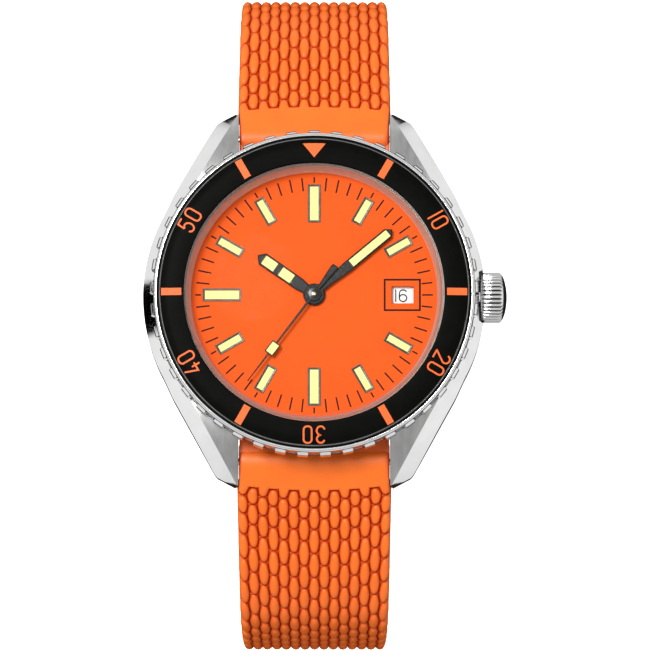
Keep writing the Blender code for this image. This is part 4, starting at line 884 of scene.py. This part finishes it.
def strap_skin(name, line, sy, half_width, half_thick, lobe_rows, last, tip_rows, ends, arch, holes=()):
    """One strap half: plain at both ends, and between them rows of rice-shaped beads in 15 columns, each column half a bead off its neighbours."""
    mids = [(a + b) / 2 for a, b in zip(ends, ends[1:])]
    v0, v1 = ends[0], ends[-1]
    marks = sorted(ends + mids)
    levels = list(lobe_rows)
    steps = max(2, int((v0 - 0.5) / 0.4))
    levels += [(v0 - 0.5) * k / steps for k in range(1, steps + 1)] + [v0 - 0.38, v0 - 0.24, v0 - 0.1]
    for a, b in zip(marks, marks[1:]):
        levels += [a + (b - a) * f for f in ALONG]
    levels += [v1, v1 + 0.1, v1 + 0.24, v1 + 0.38]
    levels += [v1 + 0.5 + (last - v1 - 0.5) * k / 16 for k in range(17)] + list(tip_rows)

    def local(v, bounds):
        i = min(max(bisect_right(bounds, v) - 1, 0), len(bounds) - 2)
        return 2 * (v - bounds[i]) / (bounds[i + 1] - bounds[i]) - 1

    full_at = lambda v: local(v, ends)
    # the other columns start and end with half a bead that runs into the plain band
    cap_bounds = [v0 - (mids[0] - v0)] + mids + [v1 + (v1 - mids[-1])]
    cap_at = lambda v: local(v, cap_bounds)

    def end_profile(y):
        return max(0.0, 1 - abs(y) ** 4.6) ** 0.5

    def cross_profile(x):
        return max(0.0, 1 - abs(x) ** 2.1) ** 0.5

    def slim(y):
        """How far the bead's outline has drawn in at y, as part of its half width."""
        return max(0.42, max(0.0, 1 - abs(y) ** 4.6) ** (1 / 2.3))

    bm = bmesh.new()
    rows = []
    n_in = 26
    for v in levels:
        w0 = half_width(v)
        beaded = v0 - 0.45 <= v <= v1 + 0.45
        inside = v0 <= v <= v1
        y_full, y_cap = full_at(min(max(v, v0), v1)), cap_at(min(max(v, v0), v1))
        swing = 0.1 * math.cos(math.pi * y_full) if inside else -0.1
        bend = (arch * smooth_step(v / max(0.1, v0)) + 0.5 * smooth_step((v - v0) / 8.0)) * smooth_step((last - v) / 6.0 if last - v < 6 else 1.0)
        loop = []
        for j in range(COLUMNS + 1):
            capped = j % 2 == 0                   # columns 0, 2, ... 14 have the half beads
            pitch = 2 * w0 / COLUMNS
            for x in ACROSS if j < COLUMNS else (-1.0,):
                # the groove lines sway so that each bead is widest where its neighbours meet
                left = 0.0 if j == 0 else (0.5 * pitch * swing * (1 if j % 2 else -1) * -1)
                right = 0.0 if j >= COLUMNS - 1 else (0.5 * pitch * swing * (1 if (j + 1) % 2 else -1) * -1)
                own = y_cap if capped else y_full
                if capped and ((v < mids[0] and y_cap < 0) or (v > mids[-1] and y_cap > 0)):
                    own = 0.0
                if j == COLUMNS:
                    u = w0
                else:
                    reach = x * slim(own) if inside and abs(x) < 1 else x
                    f = (reach + 1) / 2
                    u = -w0 + pitch * (j + f) + left * (1 - f) + right * f
                if inside and (j == 0 or j >= COLUMNS - 1):
                    edge = 0.12 * (1 - math.cos(math.pi * y_cap)) / 2
                    if j == 0:
                        u += edge * (1 - (x + 1) / 2)
                    elif j == COLUMNS:
                        u -= edge
                    else:
                        u -= edge * (x + 1) / 2
                over = max(0.0, abs(u) - (w0 - 0.45))
                plain = BAND_DROP + 0.45 - math.sqrt(max(0.0, 0.45 ** 2 - min(0.45, over) ** 2))
                if not beaded:
                    depth = plain
                elif capped or j == COLUMNS:
                    near = min(v - (v0 - 0.4), (v1 + 0.4) - v)
                    deep = 1.0 if (j == 0 and x < 0) or (j >= COLUMNS - 1 and (x > 0 or j == COLUMNS)) else BEAD_DEPTH
                    px = 1.0 if j == COLUMNS else x
                    bead = deep * (1 - cross_profile(px) * end_profile(own if inside else 0.0))
                    t = smooth_step(near / 0.75)
                    depth = plain * (1 - t) + bead * t
                else:
                    if inside:
                        bead = BEAD_DEPTH * (1 - cross_profile(x) * end_profile(y_full))
                        depth = bead
                    else:
                        gap = min(abs(v - v0), abs(v - v1))
                        depth = plain + (BEAD_DEPTH - 0.1) * max(0.0, 1 - gap / 0.12) * (0.4 + 0.6 * cross_profile(x))
                s = v - bend * (u / w0) ** 2
                for h in holes:
                    d = math.hypot(u, s - h)
                    if d < 2.2:
                        g = smooth_step((d - 1.35) / 0.5)
                        depth = plain * (1 - g) + depth * g
                loop.append((u, s, depth))
        p_side = []
        w_edge = loop[-1][0]
        d_edge = loop[-1][2]
        coords = []
        for u, s, depth in loop:
            p, n = line.at(s)
            h = half_thick(s)
            off = h - min(depth, 1.55 * h)
            coords.append((u, sy * (p.x + off * n.x), p.y + off * n.y))
        s_edge = loop[-1][1]
        p, n = line.at(s_edge)
        h = half_thick(s_edge)
        top = h - min(d_edge, 1.55 * h)
        c = min(0.4, 0.5 * (top + h))
        side = []
        for k in (0.25, 0.5, 0.75, 1.0):
            side.append((w_edge + (w0 - w_edge) * min(1.0, k * 2), top + (-h + c - top) * k))
        for a in (30, 60, 90):
            side.append((w0 - c + c * math.cos(math.radians(a)), -h + c - c * math.sin(math.radians(a))))
        for u, off in side:
            coords.append((u, sy * (p.x + off * n.x), p.y + off * n.y))
        for k in range(1, n_in):
            u = (w0 - c) * (1 - 2 * k / n_in)
            s = v - bend * (u / w0) ** 2
            q, m = line.at(s)
            hh = half_thick(s)
            coords.append((u, sy * (q.x - hh * m.x), q.y - hh * m.y))
        for u, off in reversed(side):
            coords.append((-u, sy * (p.x + off * n.x), p.y + off * n.y))
        rows.append([bm.verts.new(c3) for c3 in coords])
    for a, b in zip(rows, rows[1:]):
        stitch(bm, a, b)
    for row in (rows[0], rows[-1]):
        bm.faces.new(row)
    return made(bm, name)


def lobe(r, at_s, sign, degrees):
    return [at_s + sign * r * math.cos(math.radians(a)) for a in degrees]


BEAD_PITCH = 3.2
ends_12 = bead_ends(3.86, LEN_12 - 7.0, (2.54, 3.15, 3.4, 3.05), BEAD_PITCH)
ends_6 = bead_ends(3.3, LEN_6 - 11.0, (2.3, 2.9), BEAD_PITCH)
lobe_rows = lobe(2.1, 0, -1, (6, 14, 24, 34, 45, 56, 68, 80, 90))
skin = strap_skin("strap", LINE_12, 1, half_width_12, half_thick_12, lobe_rows, LEN_12, [LEN_12 + 1.3 * math.sin(math.radians(a)) for a in (12, 25, 38, 50, 62, 74, 84)], ends_12, 0.62)
cut(skin, moved(rod("bore", 0.92, -12, 12, 40), Matrix.Translation((0, BAR_Y, BAR_Z)) @ TO_X), moved(rod("buckle_bore", 0.72, -12, 12, 32), Matrix.Translation((0, BUCKLE_Y, BUCKLE_Z)) @ TO_X),
    block("tongue_slot", (-1.4, BUCKLE_Y - 4, BUCKLE_Z - 3), (1.4, BUCKLE_Y + 3.4, BUCKLE_Z + 3)), solver="MANIFOLD")
piece(skin, "strap_beads_12", "strap_12", RUBBER_BEADS, "strap_buckle_half", smooth=72)

hole_at = [LEN_6 - 21.5 - 6.0 * k for k in range(7)]
skin = strap_skin("strap", LINE_6, -1, half_width_6, half_thick_6, lobe_rows, LEN_6 - 9.0, [LEN_6 - 9 + 9 * math.sin(math.radians(a)) for a in (10, 20, 30, 40, 50, 60, 68, 76, 83, 90)], ends_6, 0.66, hole_at)
tools = [moved(rod("bore", 0.92, -12, 12, 40), Matrix.Translation((0, -BAR_Y, BAR_Z)) @ TO_X)]
for s in hole_at:
    p, n = LINE_6.at(s)
    tools.append(moved(rod("pin_hole", 0.85, -4, 4, 32), Matrix.Translation((0, -p.x, p.y)) @ Vector((0, -n.x, n.y)).to_track_quat("Z", "Y").to_matrix().to_4x4()))
cut(skin, *tools, solver="MANIFOLD")
piece(skin, "strap_beads_6", "strap_6", RUBBER_BEADS, "strap_tail_half", smooth=72)


def curved_end(sy):
    """The end of a strap half, shaped to the wall of the case between the lugs."""
    near = [(9.35 - 0.85 * k, max(17.3, math.sqrt(18.5 ** 2 - (9.35 - 0.85 * k) ** 2))) for k in range(23)]
    outline = [(x, sy * y) for x, y in [(9.35, 19.6)] + near + [(-9.35, 19.6)]]
    return prism("curved_end", outline[::-sy], BAR_Z - 1.7, BAR_Z + 1.7)


for side, body in ((1, "strap_12"), (-1, "strap_6")):
    end = curved_end(side)
    cut(end, moved(rod("bore", 0.92, -12, 12, 40), Matrix.Translation((0, side * BAR_Y, BAR_Z)) @ TO_X))
    piece(end, "curved_end_" + body[6:], body, RUBBER, smooth=40, bevel=0.3, segments=3)

# ------------------------------------------------------------------ keepers
def box_outline(w, low, high, r, steps=6):
    out = []
    for cx, cy, a in ((w - r, high - r, 0), (-w + r, high - r, 90), (-w + r, low + r, 180), (w - r, low + r, 270)):
        out += arc(cx, cy, r, r, a, a + 90, steps)
    return out


def keeper(s, length=4.6, wall=0.72):
    p, n = LINE_12.at(s)
    w = half_width_12(s) + 0.16
    t = thickness(s) / 2
    low, high = -t - 0.45, t + 2.8
    rings = []
    for z, shrink in ((-0.5, 0.42), (-0.47, 0.2), (-0.41, 0.06), (-0.33, 0.0), (0.33, 0.0), (0.41, 0.06), (0.47, 0.2), (0.5, 0.42)):
        rings.append((box_outline(w + wall - shrink, low - wall + shrink, high + wall - shrink, 1.0 - shrink * 0.6), z * length))
    for z, grow in ((0.5, 0.2), (0.47, 0.06), (0.43, 0.0), (0.0, 0.0), (-0.43, 0.0), (-0.47, 0.06), (-0.5, 0.2)):
        rings.append((box_outline(w + grow, low - grow, high + grow, 0.45), z * length))
    ob = stack("keeper", rings, closed=True)
    return moved(ob, Matrix(((1, 0, 0, 0), (0, n.x, -n.y, p.x), (0, n.y, n.x, p.y), (0, 0, 0, 1))))


piece(keeper(LEN_12 - 14.0), "keeper_loop_fixed", "strap_12", RUBBER, "keeper_fixed", smooth=50)
piece(keeper(LEN_12 - 22.5), "keeper_loop_free", "keeper", RUBBER, "keeper_free", smooth=50)

# ------------------------------------------------------------------ buckle
by, bz, front = BUCKLE_Y, BUCKLE_Z, 8.5
half = [(8.75, by + 1.5), (10.1, by + 1.5), (10.1, front + 1.3)] + arc(8.8, front + 1.3, 1.3, 1.3, 0, -90, 10)[1:]
inner_half = [(8.75, front + 2.75)] + arc(8.0, front + 2.75, 0.75, 0.75, 0, -90, 6)[1:]
outline = [half[0], half[1]] + half[2:] + [(-x, y) for x, y in reversed(half)] + [(-x, y) for x, y in inner_half] + [(x, y) for x, y in reversed(inner_half)]
buckle = prism("buckle", outline, bz - 1.05, bz + 1.0)
cut(buckle, moved(rod("arm_hole", 0.7, -9.75, 9.75, 32), Matrix.Translation((0, by, bz)) @ TO_X))
piece(buckle, "buckle_rounded_frame", "buckle", STEEL_POLISHED, "buckle_frame", smooth=30, bevel=0.32, segments=3, limit=40)
tongue = moved(rod("eye", 1.3, -0.9, 0.9, 48), Matrix.Translation((0, by, bz)) @ TO_X)
shaft = curve([(by - 0.2, bz + 0.9), (by - 2.4, bz + 1.08), (12.5, bz + 1.06), (9.6, bz + 1.08), (8.85, bz + 1.12)], 5) + curve([(8.62, bz + 1.32), (8.66, bz + 1.6), (9.1, bz + 1.74), (12.5, bz + 1.8), (by - 2.2, bz + 1.82), (by - 0.2, bz + 1.24)], 5)
join(tongue, moved(prism("shaft", shaft, -0.74, 0.74), TO_YZ))
cut(tongue, moved(rod("eye_bore", 0.68, -3, 3, 40), Matrix.Translation((0, by, bz)) @ TO_X))
piece(tongue, "buckle_pin", "tongue", STEEL_POLISHED, "buckle_tongue", smooth=30, bevel=0.12, segments=3, limit=40)

# ------------------------------------------------------------------ CAD nodes that stay as they are
KEPT = {
    STEEL_POLISHED: ("bezel_retaining_spring", "bezel_click_spring", "rotor_bearing", "escape_wheel", "pallet_fork", "cannon_pinion", "crown_tube", "winding_stem", "winding_pinion", "spring_bar_12", "spring_bar_6", "buckle_bar"),
    SEAL: ("case_back_gasket", "crown_gasket"),
    PLASTIC: ("crystal_gasket", "movement_ring"),
    BRASS: ("mainplate", "mainspring_barrel", "centre_wheel", "third_wheel", "fourth_wheel", "balance_wheel", "minute_wheel", "hour_wheel"),
    RHODIUM: ("train_bridge", "balance_cock", "oscillating_weight", "casing_clamp_left", "casing_clamp_right", "setting_lever"),
    BLUED: ("hairspring", "clamp_screw_left", "clamp_screw_right"),
}
for mat, names in KEPT.items():
    for name in names:
        node = frame["nodes"][name]
        for k in range(len(node.material_slots)):
            node.material_slots[k].material = mat

# ------------------------------------------------------------------ stage, light and camera
bm = bmesh.new()
bmesh.ops.create_circle(bm, cap_ends=True, segments=96, radius=6.0)
floor = made(bm, "floor")
floor.location.z = -0.0002
floor.data.materials.append(surface("floor_white", (0.9, 0.9, 0.9), (0.93, 0.93, 0.93), (0.7, 0.8), grain=(0.004, 0.004, 0.004), fine=(0.05, 0.05, 0.05), spec=0.1))
lit = floor.data.materials[0].node_tree.nodes["Principled BSDF"]
lit.inputs["Emission Color"].default_value = (1, 1, 1, 1)
lit.inputs["Emission Strength"].default_value = 1.0
floor.visible_glossy = False
floor.visible_diffuse = False

world = bpy.data.worlds.new("studio")
scene.world = world
world.use_nodes = True
wt = world.node_tree
sep = wt.nodes.new("ShaderNodeSeparateXYZ")
wt.links.new(wt.nodes.new("ShaderNodeTexCoord").outputs["Generated"], sep.inputs[0])
ramp = wt.nodes.new("ShaderNodeValToRGB")
ramp.color_ramp.interpolation = "EASE"
stops = [(0.0, 0.01), (0.24, 0.02), (0.32, 0.86), (0.6, 0.98), (0.68, 0.5), (0.88, 0.55), (1.0, 0.8)]
while len(ramp.color_ramp.elements) < len(stops):
    ramp.color_ramp.elements.new(0.5)
for e, (pos, v) in zip(ramp.color_ramp.elements, stops):
    e.position, e.color = pos, (v, v, v, 1.0)
wt.links.new(ranged(wt, sep.outputs["Z"], 0.0, 1.0, -1.0, 1.0), ramp.inputs["Fac"])

# the side at six o'clock is dimmer, and a small dark flag stands low at nine o'clock
dim = ranged(wt, sep.outputs["Y"], 0.82, 1.0, -1.0, -0.6)
dot = wt.nodes.new("ShaderNodeVectorMath")
dot.operation = "DOT_PRODUCT"
wt.links.new(sep.inputs[0].links[0].from_socket, dot.inputs[0])
dot.inputs[1].default_value = Vector((-1.0, 0.05, -0.2)).normalized()
flag = ranged(wt, dot.outputs["Value"], 1.0, 0.0, 0.984, 0.99)
both = wt.nodes.new("ShaderNodeMath")
both.operation = "MULTIPLY"
wt.links.new(dim, both.inputs[0])
wt.links.new(flag, both.inputs[1])
wt.links.new(mixed(wt, both.outputs[0], (0.0, 0.0, 0.0), ramp.outputs["Color"]), wt.nodes["Background"].inputs["Color"])
wt.nodes["Background"].inputs["Strength"].default_value = 1.0


def area(name, at, target, size, watts):
    data = bpy.data.lights.new(name, "AREA")
    data.shape, data.size, data.energy = "DISK", size, watts
    ob = bpy.data.objects.new(name, data)
    scene.collection.objects.link(ob)
    ob.location = at
    ob.rotation_mode = "QUATERNION"
    ob.rotation_quaternion = (Vector(target) - Vector(at)).to_track_quat("-Z", "Y")
    return ob


key = area("key", (-0.3, 0.2, 1.1), (0, 0, 0.06), 0.42, 11.5)

K = 0.1245e-3            # metres per pixel at the hands
DISTANCE = 0.8
elevation = math.radians(83.0)
back = Vector((0, -math.cos(elevation), math.sin(elevation)))
up_v = Vector((0, math.sin(elevation), math.cos(elevation)))
pivot = Vector((0, 0, 0.0626))
target = pivot + Vector((10.8 * K, 0, 0)) - up_v * 31.2 * K
cam_data = bpy.data.cameras.new("camera")
cam_data.sensor_width = 36.0
cam_data.lens = 36.0 * DISTANCE / (650 * K)
cam_data.clip_start, cam_data.clip_end = 0.01, 50.0
cam = bpy.data.objects.new("camera", cam_data)
scene.collection.objects.link(cam)
cam.location = target + back * DISTANCE
cam.rotation_mode = "QUATERNION"
cam.rotation_quaternion = (-back).to_track_quat("-Z", "Y")
scene.camera = cam

scene.view_settings.view_transform = "Standard"
scene.view_settings.look = "None"
scene.view_settings.exposure = 0.0
